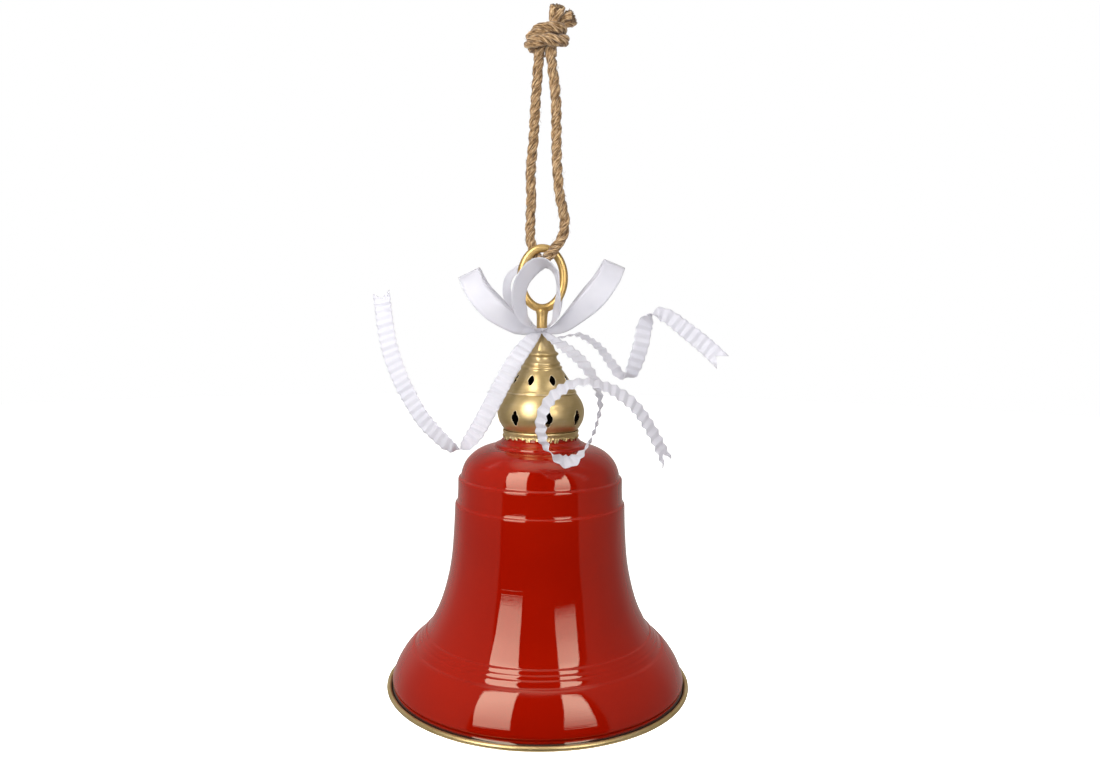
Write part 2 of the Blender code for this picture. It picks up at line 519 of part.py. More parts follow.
def build_clapper(link_pivot, clapper_pivot):
    link = torus("clapper_link", EYE_RADIUS, LINK_WIRE, (0.0, 0.0, LINK_CENTRE), "X")
    add_object("clapper_link", link, "zinc_steel", link_pivot)

    rod_top = CLAPPER_EYE_CENTRE - CLAPPER_EYE_RADIUS + 0.6
    tip = BALL_CENTRE - BALL_RADIUS - 3.0
    rod = [(0.0, rod_top), (CLAPPER_ROD_RADIUS, rod_top - 1.0), (CLAPPER_ROD_RADIUS, tip),
           (0.0, tip)]
    clapper = add_object("clapper_rod", lathe("clapper_rod", rod, 16), "zinc_steel",
                         clapper_pivot)
    eye = torus("rod_eye_operand", CLAPPER_EYE_RADIUS, LINK_WIRE,
                (0.0, 0.0, CLAPPER_EYE_CENTRE), "Y")
    boolean(clapper, hidden_operand("rod_eye_operand", eye, "zinc_steel", clapper_pivot), "UNION")

    bore = CLAPPER_ROD_RADIUS + GAP
    lean = math.degrees(math.acos(bore / BALL_RADIUS))
    ball = arc(BALL_RADIUS, BALL_RADIUS, BALL_CENTRE, -lean, lean, 11)
    add_object("clapper_ball", lathe("clapper_ball", ball, 24), "zinc_steel", clapper_pivot)
    nut_top = BALL_CENTRE - math.sqrt(BALL_RADIUS ** 2 - bore ** 2) - GAP
    add_object("clapper_nut", hex_nut("clapper_nut", 7.0, bore, nut_top - 2.4, nut_top),
               "zinc_steel", clapper_pivot, smooth=False)


clear_scene()
MATERIALS = make_materials()
rope_pivot = make_pivot("rope_body", HANG_HEIGHT)
bell_pivot = make_pivot("bell_swing_axis", SWING_HEIGHT, rope_pivot)
bow_pivot = make_pivot("bow_turn_axis", BOW_HEIGHT, bell_pivot)
link_pivot = make_pivot("link_swing_axis", LINK_HEIGHT, bell_pivot)
clapper_pivot = make_pivot("clapper_swing_axis", CLAPPER_HEIGHT, link_pivot)
build_rope(rope_pivot)
build_bell(bell_pivot)
build_bow(bow_pivot)
build_clapper(link_pivot, clapper_pivot)
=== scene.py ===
"""Christmas bell ornament: the looks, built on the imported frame.

Lengths in the tables below are millimetres and heights are measured up from the
plane of the bell's mouth, as in the CAD; at() turns them into frame metres.
"""
import bisect
import random
from math import acos, asin, copysign, cos, exp, hypot, pi, radians, sin, sqrt, tau

import bmesh
import bpy
from mathutils import Matrix, Vector, noise


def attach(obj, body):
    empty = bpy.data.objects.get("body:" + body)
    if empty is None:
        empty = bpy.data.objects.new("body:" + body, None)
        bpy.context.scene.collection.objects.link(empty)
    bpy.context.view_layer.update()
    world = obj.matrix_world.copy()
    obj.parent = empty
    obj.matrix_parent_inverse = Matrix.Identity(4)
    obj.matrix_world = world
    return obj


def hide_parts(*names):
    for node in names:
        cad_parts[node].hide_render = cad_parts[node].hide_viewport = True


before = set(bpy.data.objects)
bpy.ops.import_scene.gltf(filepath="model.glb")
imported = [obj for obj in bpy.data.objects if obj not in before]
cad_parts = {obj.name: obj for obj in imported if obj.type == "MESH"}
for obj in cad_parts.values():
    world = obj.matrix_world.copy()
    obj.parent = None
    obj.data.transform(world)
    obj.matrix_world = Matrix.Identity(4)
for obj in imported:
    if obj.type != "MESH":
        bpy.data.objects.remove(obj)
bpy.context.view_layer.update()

MM = 0.001
HANG_HEIGHT = 446.0
AXIS_RADIUS = 1e-6


def at(x, y, height):
    return Vector((x, y, height - HANG_HEIGHT)) * MM


def height_of(point):
    return point.z / MM + HANG_HEIGHT


def wander(x, y, z):
    """Slow unevenness between about -1 and 1."""
    return noise.noise(Vector((x, y, z)))


def new_object(name, data):
    obj = bpy.data.objects.new(name, data)
    bpy.context.collection.objects.link(obj)
    return obj


# ---- camera

CAMERA_LENS = 29.45
CAMERA_SENSOR = 36.0
CAMERA_PLACE = (0.0056, -0.6444, -0.1688)
CAMERA_FORWARD = (0.001, 0.9962, -0.0869)
CAMERA_RIGHT = (0.99993, 0.0, 0.012)


def make_camera():
    data = bpy.data.cameras.new("camera")
    data.lens = CAMERA_LENS
    data.sensor_width = CAMERA_SENSOR
    data.clip_start = 0.01
    data.clip_end = 50.0
    cam = new_object("camera", data)
    forward = Vector(CAMERA_FORWARD).normalized()
    right = Vector(CAMERA_RIGHT)
    right = (right - forward * right.dot(forward)).normalized()
    rot = Matrix((right, right.cross(forward), -forward)).transposed()
    cam.matrix_world = Matrix.Translation(CAMERA_PLACE) @ rot.to_4x4()
    bpy.context.scene.camera = cam
    bpy.context.scene.view_settings.view_transform = "Standard"
    bpy.context.scene.view_settings.look = "None"


# ---- node helpers

def fill(tree, made, inputs):
    """Link each input that is given a socket, and set each that is given a value."""
    for key, value in inputs.items():
        if isinstance(value, bpy.types.NodeSocket):
            tree.links.new(value, made.inputs[key])
        else:
            made.inputs[key].default_value = value


def node(tree, kind, inputs=None, **settings):
    made = tree.nodes.new("ShaderNode" + kind)
    for key, value in settings.items():
        setattr(made, key, value)
    fill(tree, made, inputs or {})
    return made


def new_material(name):
    mat = bpy.data.materials.new(name)
    mat.use_nodes = True
    return mat, mat.node_tree


def dressed(mat, inputs):
    """The material with these inputs on its Principled shader."""
    fill(mat.node_tree, mat.node_tree.nodes["Principled BSDF"], inputs)
    return mat


def math_node(tree, operation, *values):
    return node(tree, "Math", dict(enumerate(values)), operation=operation).outputs[0]


def weighted(tree, *pairs, base=0.0):
    """The base plus each socket times its share."""
    total = base
    for socket, share in pairs:
        total = math_node(tree, "MULTIPLY_ADD", socket, share, total)
    return total


def ramp(tree, factor, positions, colours):
    made = node(tree, "ValToRGB", {"Fac": factor})
    elements = made.color_ramp.elements
    while len(elements) < len(positions):
        elements.new(0.5)
    for element, position, colour in zip(elements, positions, colours):
        element.position = position
        element.color = (*colour, 1.0)
    return made.outputs["Color"]


def mix_colour(tree, factor, first, second):
    return node(tree, "Mix", {0: factor, 6: first, 7: second}, data_type="RGBA").outputs[2]


def map_range(tree, value, source, target=(0.0, 1.0), kind="LINEAR"):
    return node(tree, "MapRange",
                {"Value": value, "From Min": source[0], "From Max": source[1],
                 "To Min": target[0], "To Max": target[1]}, interpolation_type=kind).outputs[0]


def smooth_step(tree, value, low, high):
    return map_range(tree, value, (low, high), kind="SMOOTHSTEP")


def noise_at(tree, vector, scale, detail=2.0, roughness=0.5):
    return node(tree, "TexNoise", {"Vector": vector, "Scale": scale, "Detail": detail,
                                             "Roughness": roughness}).outputs["Fac"]


def streaks(tree, lay, across, along, detail, roughness=0.5):
    """Noise drawn out over the UVs, by its scale across and along."""
    drawn = node(tree, "VectorMath", {0: lay, 1: (across, along, 0.0)},
                 operation="MULTIPLY").outputs["Vector"]
    return noise_at(tree, drawn, 1.0, detail, roughness)


def coords(tree, output="Object"):
    return node(tree, "TexCoord").outputs[output]


def relief(tree, *layers):
    """Bumps of (height, strength, distance), each laid over the one before."""
    normal = None
    for height, strength, distance in layers:
        inputs = {"Height": height, "Strength": strength, "Distance": distance}
        if normal is not None:
            inputs["Normal"] = normal
        normal = node(tree, "Bump", inputs).outputs["Normal"]
    return normal


# ---- materials

THREE_STOPS = (0.30, 0.50, 0.70)
# painted shade in the groove above the bead: the heights it fades in over, and its colour
HEM_PAINTED_SHADE_HEIGHTS = (4.2, 2.8)
HEM_PAINTED_SHADE = (0.012, 0.003, 0.002, 1.0)
WORN_GILT = (0.20, 0.10, 0.03, 1.0)
JUTE_GROOVE_SHADE = (0.120, 0.066, 0.027, 1.0)
RIBBON_GLOW = (0.770, 0.765, 0.800, 1.0)


def red_enamel():
    """Sprayed gloss enamel over spun sheet: faint spinning ridges and slow waves."""
    mat, tree = new_material("red_enamel_gloss")
    spot, turn = coords(tree), coords(tree, "UV")
    tone = weighted(tree, (noise_at(tree, spot, 14.0, 3.0), 0.75),
                    (noise_at(tree, spot, 900.0, 2.0), 0.25))
    paint = ramp(tree, tone, THREE_STOPS, [
        (0.240, 0.0034, 0.0002), (0.262, 0.0044, 0.0003), (0.284, 0.0056, 0.0004)])
    # painted shade: from 4.2 mm down to 2.8 mm above the mouth the paint fades to near black,
    # darkening the groove above the bead
    height = node(tree, "SeparateXYZ", {0: spot}).outputs["Z"]
    hem_shade = smooth_step(tree, height, *((h - HANG_HEIGHT) * MM for h in HEM_PAINTED_SHADE_HEIGHTS))
    waves = noise_at(tree, spot, 22.0, 1.0)
    dents = streaks(tree, turn, 60.0, 130.0, 1.0)
    ridges = streaks(tree, turn, 5.0, 400.0, 0.0)
    return dressed(mat, {
        "Base Color": mix_colour(tree, hem_shade, paint, HEM_PAINTED_SHADE),
        "Normal": relief(tree, (waves, 0.5, 0.0003), (dents, 0.5, 0.00002),
                         (ridges, 1.0, 0.000022)),
        "Roughness": 0.012, "IOR": 1.60, "Specular Tint": (1.0, 0.86, 0.66, 1.0)})


def red_inside():
    """The same paint inside the bell, thinner and duller, with overspray mottling."""
    mat, tree = new_material("red_enamel_inside")
    cloud = noise_at(tree, coords(tree), 55.0, 6.0, 0.62)
    rings = streaks(tree, coords(tree, "UV"), 3.0, 300.0, 3.0, 0.6)
    both = weighted(tree, (cloud, 0.65), (rings, 0.35))
    return dressed(mat, {
        "Base Color": ramp(tree, both, (0.28, 0.50, 0.72), [
            (0.120, 0.012, 0.006), (0.240, 0.014, 0.005), (0.300, 0.016, 0.006)]),
        "Normal": relief(tree, (both, 0.5, 0.0002)),
        "Roughness": map_range(tree, cloud, (0.0, 1.0), (0.30, 0.62))})


def gilt(name, shades, roughness, wear, brush_scale=(12.0, 110.0)):
    """Gold-coloured lacquer on metal: softly uneven, faintly brushed in tone and gloss,
    and specked by wear."""
    mat, tree = new_material(name)
    spot = coords(tree)
    brush = streaks(tree, coords(tree, "UV"), *brush_scale, 4.0, 0.65)
    tone = weighted(tree, (noise_at(tree, spot, 70.0, 4.0, 0.55), 0.70), (brush, 0.30))
    specks = smooth_step(tree, noise_at(tree, spot, 1100.0, 2.0), 0.66, 0.74)
    worn = math_node(tree, "MULTIPLY", specks, wear)
    return dressed(mat, {
        "Base Color": mix_colour(tree, worn, ramp(tree, tone, THREE_STOPS, shades), WORN_GILT),
        "Normal": relief(tree, (noise_at(tree, spot, 80.0, 1.0), 0.5, 0.0004)),
        "Metallic": 0.84,
        "Roughness": map_range(tree, brush, (0.25, 0.75), (roughness - 0.04, roughness + 0.06))})


def painted_shade_lining():
    """Near-black painted shade inside the pierced crown and in its cut edges, faintly mottled."""
    mat, tree = new_material("crown_inside_painted_shade")
    cloud = noise_at(tree, coords(tree), 120.0, 5.0, 0.6)
    return dressed(mat, {
        "Base Color": ramp(tree, cloud, (0.3, 0.7), [(0.006, 0.004, 0.003),
                                                     (0.020, 0.012, 0.007)]),
        "Normal": relief(tree, (cloud, 0.4, 0.0003)),
        "Roughness": 0.85, "Specular IOR Level": 0.2})


def zinc():
    """Plated steel hardware: crystalline spangle, with cloudy tone and gloss."""
    mat, tree = new_material("zinc_plate")
    spot = coords(tree)
    cells = node(tree, "TexVoronoi", {"Vector": spot, "Scale": 420.0})
    cloud = noise_at(tree, spot, 160.0, 5.0, 0.6)
    both = weighted(tree, (cloud, 0.80), (cells.outputs["Distance"], 0.30))
    return dressed(mat, {
        "Base Color": ramp(tree, both, (0.30, 0.55, 0.80), [
            (0.30, 0.30, 0.31), (0.48, 0.48, 0.49), (0.62, 0.61, 0.60)]),
        "Normal": relief(tree, (both, 0.35, 0.0001)),
        "Metallic": 1.0, "Roughness": map_range(tree, cloud, (0.0, 1.0), (0.24, 0.55))})


def jute():
    """Spun jute: fibre streaks along each strand, painted shade between strands, pale loose ends.
    """
    mat, tree = new_material("jute_fibre")
    lay = coords(tree, "UV")
    streak = streaks(tree, lay, 13.0, 210.0, 3.0, 0.55)
    thread = streaks(tree, lay, 30.0, 330.0, 3.0, 0.60)
    patch = noise_at(tree, coords(tree), 260.0, 3.0, 0.6)
    mixed = weighted(tree, (thread, 0.27), (streak, 0.58), (patch, 0.15))
    fibre = ramp(tree, mixed, (0.42, 0.46, 0.50, 0.54, 0.59), [
        (0.065, 0.031, 0.010), (0.155, 0.085, 0.034), (0.262, 0.156, 0.071),
        (0.380, 0.246, 0.125), (0.550, 0.396, 0.232)])
    # the depth attribute fades the fibre to a painted shade in the grooves between strands
    depth = node(tree, "Attribute", attribute_name="depth").outputs["Fac"]
    shade = smooth_step(tree, depth, -0.10, 0.45)
    return dressed(mat, {
        "Base Color": mix_colour(tree, shade, JUTE_GROOVE_SHADE, fibre),
        "Normal": relief(tree, (streak, 0.9, 0.0009), (thread, 0.80, 0.0004)),
        "Roughness": 0.86, "Specular IOR Level": 0.22,
        "Sheen Weight": 0.25, "Sheen Roughness": 0.5})


def ribbon_paper(name, rib_strength):
    """Coated polypropylene ribbon: faint ribs along its length, cool white, letting some
    light through."""
    mat, tree = new_material(name)
    lay = coords(tree, "UV")
    ribs = node(tree, "TexWave", {"Vector": lay, "Scale": 5.6, "Distortion": 0.3,
                                            "Detail": 1.0, "Detail Scale": 2.0},
                wave_type="BANDS", bands_direction="X").outputs["Fac"]
    cloud = noise_at(tree, coords(tree), 60.0, 3.0, 0.5)
    grain = streaks(tree, lay, 30.0, 260.0, 2.0)
    dressed(mat, {
        "Base Color": ramp(tree, cloud, (0.32, 0.50, 0.70), [
            (0.585, 0.587, 0.635), (0.615, 0.615, 0.660), (0.645, 0.643, 0.680)]),
        "Normal": relief(tree, (ribs, rib_strength, 0.00008), (grain, 0.15, 0.00005)),
        "Roughness": 0.38, "Specular IOR Level": 0.45, "Sheen Weight": 0.10})
    through = node(tree, "BsdfTranslucent", {"Color": RIBBON_GLOW})
    both = node(tree, "MixShader", {
        0: 0.42, 1: tree.nodes["Principled BSDF"].outputs[0], 2: through.outputs[0]})
    for end in tree.nodes:
        if end.type == "OUTPUT_MATERIAL":
            tree.links.new(both.outputs[0], end.inputs["Surface"])
    return mat


# ---- geometry helpers

def circle(count):
    """Evenly spaced angles once round."""
    return [tau * i / count for i in range(count)]


def around(radius, angle, height):
    """The point at a radius, an angle from the front and a height."""
    return at(radius * sin(angle), -radius * cos(angle), height)


def smooth_points(points, per_span, closed=False):
    """Catmull-Rom curve through tuples of any length."""
    count = len(points)
    spans = count if closed else count - 1

    def pick(i):
        return points[i % count] if closed else points[max(0, min(count - 1, i))]

    out = []
    for i in range(spans):
        p0, p1, p2, p3 = (pick(i + k) for k in (-1, 0, 1, 2))
        for step in range(per_span):
            t = step / per_span
            out.append(tuple(
                0.5 * (2 * b + (c - a) * t + (2 * a - 5 * b + 4 * c - d) * t * t
                       + (3 * b - a - 3 * c + d) * t ** 3)
                for a, b, c, d in zip(p0, p1, p2, p3)))
    if not closed:
        out.append(tuple(points[-1]))
    return out


def soften(points, rounds, closed=False):
    """Corner cutting, which rounds every crease of an outline by a share of its sides."""
    for _ in range(rounds):
        out = [] if closed else [points[0]]
        pairs = list(zip(points, points[1:] + points[:1] if closed else points[1:]))
        for a, b in pairs:
            out.append(tuple(0.75 * p + 0.25 * q for p, q in zip(a, b)))
            out.append(tuple(0.25 * p + 0.75 * q for p, q in zip(a, b)))
        if not closed:
            out.append(points[-1])
        points = out
    return points


def even_steps(points, step):
    """Points a fixed distance apart along a polyline of vectors."""
    lengths = [0.0]
    for a, b in zip(points, points[1:]):
        lengths.append(lengths[-1] + (b - a).length)
    count = max(2, int(round(lengths[-1] / step)))
    out, k = [], 0
    for i in range(count + 1):
        want = lengths[-1] * i / count
        while k < len(points) - 2 and lengths[k + 1] < want:
            k += 1
        span = lengths[k + 1] - lengths[k]
        out.append(points[k].lerp(points[k + 1], (want - lengths[k]) / span if span else 0.0))
    return out


def carried_frames(points):
    """Tangent, side and top at each point, turned as little as possible on the way."""
    out = []
    side = None
    for i, point in enumerate(points):
        ahead, behind = points[min(i + 1, len(points) - 1)], points[max(i - 1, 0)]
        along = (ahead - behind).normalized()
        if side is None:
            side = along.orthogonal()
        side = (side - along * side.dot(along)).normalized()
        out.append((along, side, along.cross(side)))
    return out


def grid_mesh(name, rows, wrap_cols=False, wrap_rows=False, us=None, vs=None, depth=None,
              cap_ends=False):
    """A quad mesh from rows of points, with UVs us across and vs along the rows."""
    n, m = len(rows), len(rows[0])
    verts = [p for row in rows for p in row]
    faces, uvs = [], []
    us = us or [j / m for j in range(m + 1)]
    vs = vs or [i / n for i in range(n + 1)]
    for i in range(n if wrap_rows else n - 1):
        for j in range(m if wrap_cols else m - 1):
            i2, j2 = (i + 1) % n, (j + 1) % m
            faces.append((i * m + j, i * m + j2, i2 * m + j2, i2 * m + j))
            uvs += [(us[j], vs[i]), (us[j + 1], vs[i]), (us[j + 1], vs[i + 1]), (us[j], vs[i + 1])]
    if cap_ends:
        for row, flip in ((0, True), (n - 1, False)):
            ring = [row * m + j for j in range(m)]
            faces.append(tuple(ring[::-1] if flip else ring))
            uvs += [(us[j], vs[row]) for j in (range(m - 1, -1, -1) if flip else range(m))]
    mesh = bpy.data.meshes.new(name)
    mesh.from_pydata([tuple(v) for v in verts], [], faces)
    layer = mesh.uv_layers.new(name="UVMap")
    layer.data.foreach_set("uv", [c for uv in uvs for c in uv])
    if depth is not None:
        attribute = mesh.attributes.new("depth", "FLOAT", "POINT")
        attribute.data.foreach_set("value", [d for row in depth for d in row])
    return mesh


def tidy_mesh(mesh, merge=True, angle=40.0):
    bm = bmesh.new()
    bm.from_mesh(mesh)
    if merge:
        bmesh.ops.remove_doubles(bm, verts=bm.verts, dist=2e-7)
    bmesh.ops.recalc_face_normals(bm, faces=bm.faces)
    bm.to_mesh(mesh)
    bm.free()
    mesh.shade_smooth()
    mesh.set_sharp_from_angle(angle=radians(angle))
    return mesh


def band_mesh(name, rows, angle=40.0):
    """A mesh that closes on itself both ways round."""
    return tidy_mesh(grid_mesh(name, rows, wrap_cols=True, wrap_rows=True), angle=angle)


def join_meshes(name, meshes, sharp_angle=180.0):
    bm = bmesh.new()
    for mesh in meshes:
        bm.from_mesh(mesh)
    joined = bpy.data.meshes.new(name)
    bm.to_mesh(joined)
    bm.free()
    joined.shade_smooth()
    if sharp_angle < 180.0:
        joined.set_sharp_from_angle(angle=radians(sharp_angle))
    return joined


def lathe(name, outline, segments, ripple=None):
    """Turn a closed outline of (radius, height), or one that ends on the axis."""
    def spun(r, h, a):
        if ripple is not None:
            r, h = ripple(r, h, a)
        return around(r, a, h)

    rows = [[spun(r, h, a) for a in circle(segments)] for r, h in outline]
    run = [0.0]
    for (r0, h0), (r1, h1) in zip(outline, outline[1:] + outline[:1]):
        run.append(run[-1] + hypot(r1 - r0, h1 - h0))
    return tidy_mesh(grid_mesh(name, rows, wrap_cols=True, wrap_rows=outline[0][0] > AXIS_RADIUS,
                               vs=[v * MM * 5.0 for v in run]))


def ring_of_wire(name, radius, wire, height, axis, segments=72, sides=20):
    """A round wire ring on the bell's axis, whose plane has the given normal."""
    rows = []
    for a in circle(segments):
        row = []
        for b in circle(sides):
            r, lift = radius + wire * cos(b), wire * sin(b)
            x, y = r * cos(a), r * sin(a)
            across, back, up = {"X": (lift, x, y), "Y": (x, lift, y), "Z": (x, y, lift)}[axis]
            row.append(at(across, back, height + up))
        rows.append(row)
    return band_mesh(name, rows)


def hair(points, radius, sides, tip):
    """A fibre along vectors in metres, tapering to tip times its radius."""
    rows = []
    count = len(points)
    for i, (point, (_, side, top)) in enumerate(zip(points, carried_frames(points))):
        taper = 1.0 - (1.0 - tip) * (i / (count - 1)) ** 2
        rows.append([point + (side * cos(a) + top * sin(a)) * radius * taper
                     for a in circle(sides)])
    return grid_mesh("hair", rows, wrap_cols=True, vs=[i * MM for i in range(count + 1)],
                     depth=[[1.0] * sides] * count, cap_ends=True)


def place(name, mesh, body, materials, replaced=()):
    obj = new_object(name, mesh)
    for mat in materials:
        obj.data.materials.append(mat)
    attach(obj, body)
    if replaced:
        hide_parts(*replaced)
    return obj


# ---- rope

ROPE_RADIUS = 3.75
ROPE_LAY = 27.0
SWING_HEIGHT = 316.2
ROPE_WRAP = 7.9
KNOT_LAY = ROPE_LAY * 1.25
STRAND_SIDES = 22
YARNS = 5.0
YARN_LAY = 7.5
CUT_REACH = 9.0
# Rope centre line: down behind the ring, under its wire, up in front, as in the CAD
ROPE_ROUTE = [
    (-3.95, 0.6, 451.9), (-4.6, 1.6, 443), (-6.2, 3.8, 419), (-7.6, 5.2, 391),
    (-9.2, 6.4, 371), (-8.8, 7.2, 350), (-9.3, 8, 331), (-8.4, 8.3, 319.5),
    (-5.2, 7.5, 311.5), (0, 0, SWING_HEIGHT - ROPE_WRAP), (5.2, -7.5, 311.5),
    (10.2, -8.8, 318), (14, -8.3, 324.5), (15.3, -7.6, 332),
    (14.2, -6.8, 341), (11.6, -6.4, 352), (9.6, -6, 371), (8.7, -5, 391),
    (8, -3.8, 419), (5.2, -1.6, 441), (4, -0.6, 451.9),
]
# The two parts of the doubled overhand knot, each from its leg to its tail
KNOT_LEFT = [
    (-4.2, 0.9, 448.5), (-3.95, 0.6, 451.9), (-2.4, 2, 456.5), (1.5, 3.4, 461.5),
    (7, 4.4, 466.2), (11.2, 1, 467), (9, -4.6, 466.4), (2, -7, 466),
    (-5.5, -6.2, 464.4), (-9.4, -1.6, 461.8), (-7.4, 4.4, 460.8), (-1, 6.6, 462.4),
    (3.6, 3.6, 466.2), (5, -0.4, 468.6), (6.2, -2.6, 471.5), (7.2, -3.2, 475.5),
    (8, -3.2, 481),
]
KNOT_RIGHT = [
    (4.3, -0.8, 448.5), (4, -0.6, 451.9), (4.8, 1, 456.4), (7.6, 2.4, 460),
    (12, 1.6, 460.2), (13, -2.6, 458.8), (8, -6.8, 457.6), (0.5, -7.9, 458),
    (-6.6, -6.4, 457.2), (-10.6, -1, 456.4), (-7.4, 5, 456.2), (1, 6.8, 458.4),
    (8, 6, 463), (10.8, 3.4, 467.4), (12.4, 2, 470.8), (14.8, 1.8, 473.8),
    (18.2, 2, 476),
]


def twisted_rope(name, route, lay, splay=0.0, start=0.0, fat=1.0):
    """Three strands laid round a centre line, each with its own spun yarns showing.

    splay opens the strands near the end of the route, where a tail is cut; fat swells
    the strands of a slack or knotted length.
    """
    centre = even_steps([at(*p) for p in smooth_points(route, 14)], 0.75 * MM)
    frames = carried_frames(centre)
    step = (centre[1] - centre[0]).length / MM
    count = len(centre)
    total = (count - 1) * step
    strand_radius = 0.545 * ROPE_RADIUS * fat
    offset = ROPE_RADIUS * (1.0 + 0.5 * (fat - 1.0)) - 0.53 * ROPE_RADIUS

    def loosened(s):
        return max(0.0, 1.0 - (total - s) / CUT_REACH)

    meshes = []
    for k in range(3):
        line = []
        for i, (point, (_, side, top)) in enumerate(zip(centre, frames)):
            s = i * step
            wobble = 0.10 * wander(s * 0.09, k * 7.3 + start, 1.7)
            a = tau * ((s + start) / lay + k / 3.0 + wobble)
            uneven = 1.0 + 0.05 * wander(s * 0.2, k * 3.1, 9.0)
            reach = offset * uneven + loosened(s) * splay
            line.append(point + (side * cos(a) + top * sin(a)) * reach * MM)
        rows, depth = [], []
        for i, point in enumerate(line):
            s = i * step
            ahead, behind = line[min(i + 1, count - 1)], line[max(i - 1, 0)]
            along = (ahead - behind).normalized()
            out = point - centre[i]
            out = (out - along * out.dot(along)).normalized()
            across = along.cross(out)
            swell = 1.0 + 0.05 * wander(s * 0.16, k * 4.7, 3.0)
            swell += 0.22 * loosened(s) * min(1.0, splay)
            row, deep = [], []
            for b in circle(STRAND_SIDES):
                yarn = b * YARNS - tau * s / YARN_LAY + k
                lobe = 0.050 * cos(yarn)
                lobe += 0.060 * wander(cos(b) * 1.6 + k * 5, sin(b) * 1.6, s * 0.35)
                r = strand_radius * (0.985 + lobe) * swell
                p = point + (out * cos(b) + across * sin(b)) * r * MM
                row.append(p)
                # depth weight for the painted shade: low near the rope's core, and lower still
                # along the yarns' grooves
                away = (p - centre[i]).length / (ROPE_RADIUS * MM)
                groove = 0.5 + 0.5 * cos(yarn)
                deep.append(max(0.0, min(1.0, (away - 0.55) / 0.30)) * (0.80 + 0.20 * groove))
            rows.append(row)
            depth.append(deep)
        vs = [i * step * MM for i in range(count + 1)]
        meshes.append(grid_mesh(name, rows, wrap_cols=True, vs=vs, depth=depth, cap_ends=True))
    return join_meshes(name, meshes), centre


def loose_fibres(line, count, reach, seed):
    """Fine hairs that leave the rope's surface at a low angle."""
    rng = random.Random(seed)
    frames = carried_frames(line)
    meshes = []
    for _ in range(count):
        i = rng.randrange(6, len(line) - 6)
        along, side, top = frames[i]
        a = rng.uniform(0.0, tau)
        out = side * cos(a) + top * sin(a)
        turn = along.cross(out)
        start = line[i] + out * ROPE_RADIUS * MM * rng.uniform(0.9, 1.05)
        heading = (along * rng.choice((-1, 1)) + turn * rng.uniform(-0.8, 0.8)
                   + out * rng.uniform(0.05, 0.45)).normalized()
        length = rng.uniform(0.4, 1.0) * reach
        curl = out * rng.uniform(-0.5, 0.35) + turn * rng.uniform(-0.4, 0.4)
        points = [start + (heading * t + curl * t * t * 0.5) * length * MM
                  for t in (0.0, 0.25, 0.5, 0.75, 1.0)]
        meshes.append(hair(points, rng.uniform(0.045, 0.085) * MM, 3, 0.4))
    return meshes


def frayed_end(route, count, reach, seed):
    """The cut end of a tail: a brush of yarn ends, uneven and slightly spread."""
    rng = random.Random(seed)
    points = [at(*p) for p in smooth_points(route, 8)]
    tip = points[-1]
    along = (tip - points[-5]).normalized()
    side = along.orthogonal().normalized()
    top = along.cross(side)
    meshes = []
    for _ in range(count):
        a, r = rng.uniform(0.0, tau), ROPE_RADIUS * sqrt(rng.random()) * 1.30
        out = side * cos(a) + top * sin(a)
        start = tip + out * r * MM - along * 1.6 * MM
        length = (1.6 + rng.uniform(0.1, 1.0) * reach) * (1.0 - 0.25 * r / ROPE_RADIUS)
        spread = out * rng.uniform(0.0, 0.45) * r / ROPE_RADIUS
        line = [start + (along * t + spread * t * t
                         + side * 0.05 * sin(5 * t + a)) * length * MM
                for t in (0.0, 0.35, 0.7, 1.0)]
        meshes.append(hair(line, rng.uniform(0.16, 0.34) * MM, 5, 0.75))
    return meshes


def build_rope():
    mesh, line = twisted_rope("rope_loop_twisted", ROPE_ROUTE, ROPE_LAY)
    loop = place("rope_loop_twisted", mesh, "rope", [JUTE], ["rope_loop"])
    left, left_line = twisted_rope("knot_left", KNOT_LEFT, KNOT_LAY, 1.1, 8.0, 1.12)
    right, right_line = twisted_rope("knot_right", KNOT_RIGHT, KNOT_LAY, 2.0, 3.0, 1.14)
    knot = place("rope_overhand_knot", join_meshes("rope_overhand_knot", [left, right]), "rope",
                 [JUTE], ["rope_knot", "rope_tail_up", "rope_tail_side"])
    hairs = (loose_fibres(line, 260, 4.5, 11) + loose_fibres(left_line, 60, 3.6, 12)
             + loose_fibres(right_line, 60, 3.6, 13) + frayed_end(KNOT_LEFT, 260, 1.9, 21)
             + frayed_end(KNOT_RIGHT, 260, 3.2, 22))
    fuzz = place("rope_loose_fibres", join_meshes("rope_loose_fibres", hairs), "rope",
                 [JUTE])
    length = sum((b - a).length for a, b in zip(line, line[1:]))
    tuple(line[0])
    [tuple(p) for p in line]


# ---- bell shell

BELL_SEGMENTS = 192
MOUTH_RADIUS = 110.0
BEAD_TUBE = 1.75
BEAD_SIDES = 18
NECK_TOP = 180.2
COLLAR_HEIGHT = 184.3
ROD_RADIUS = 3.0
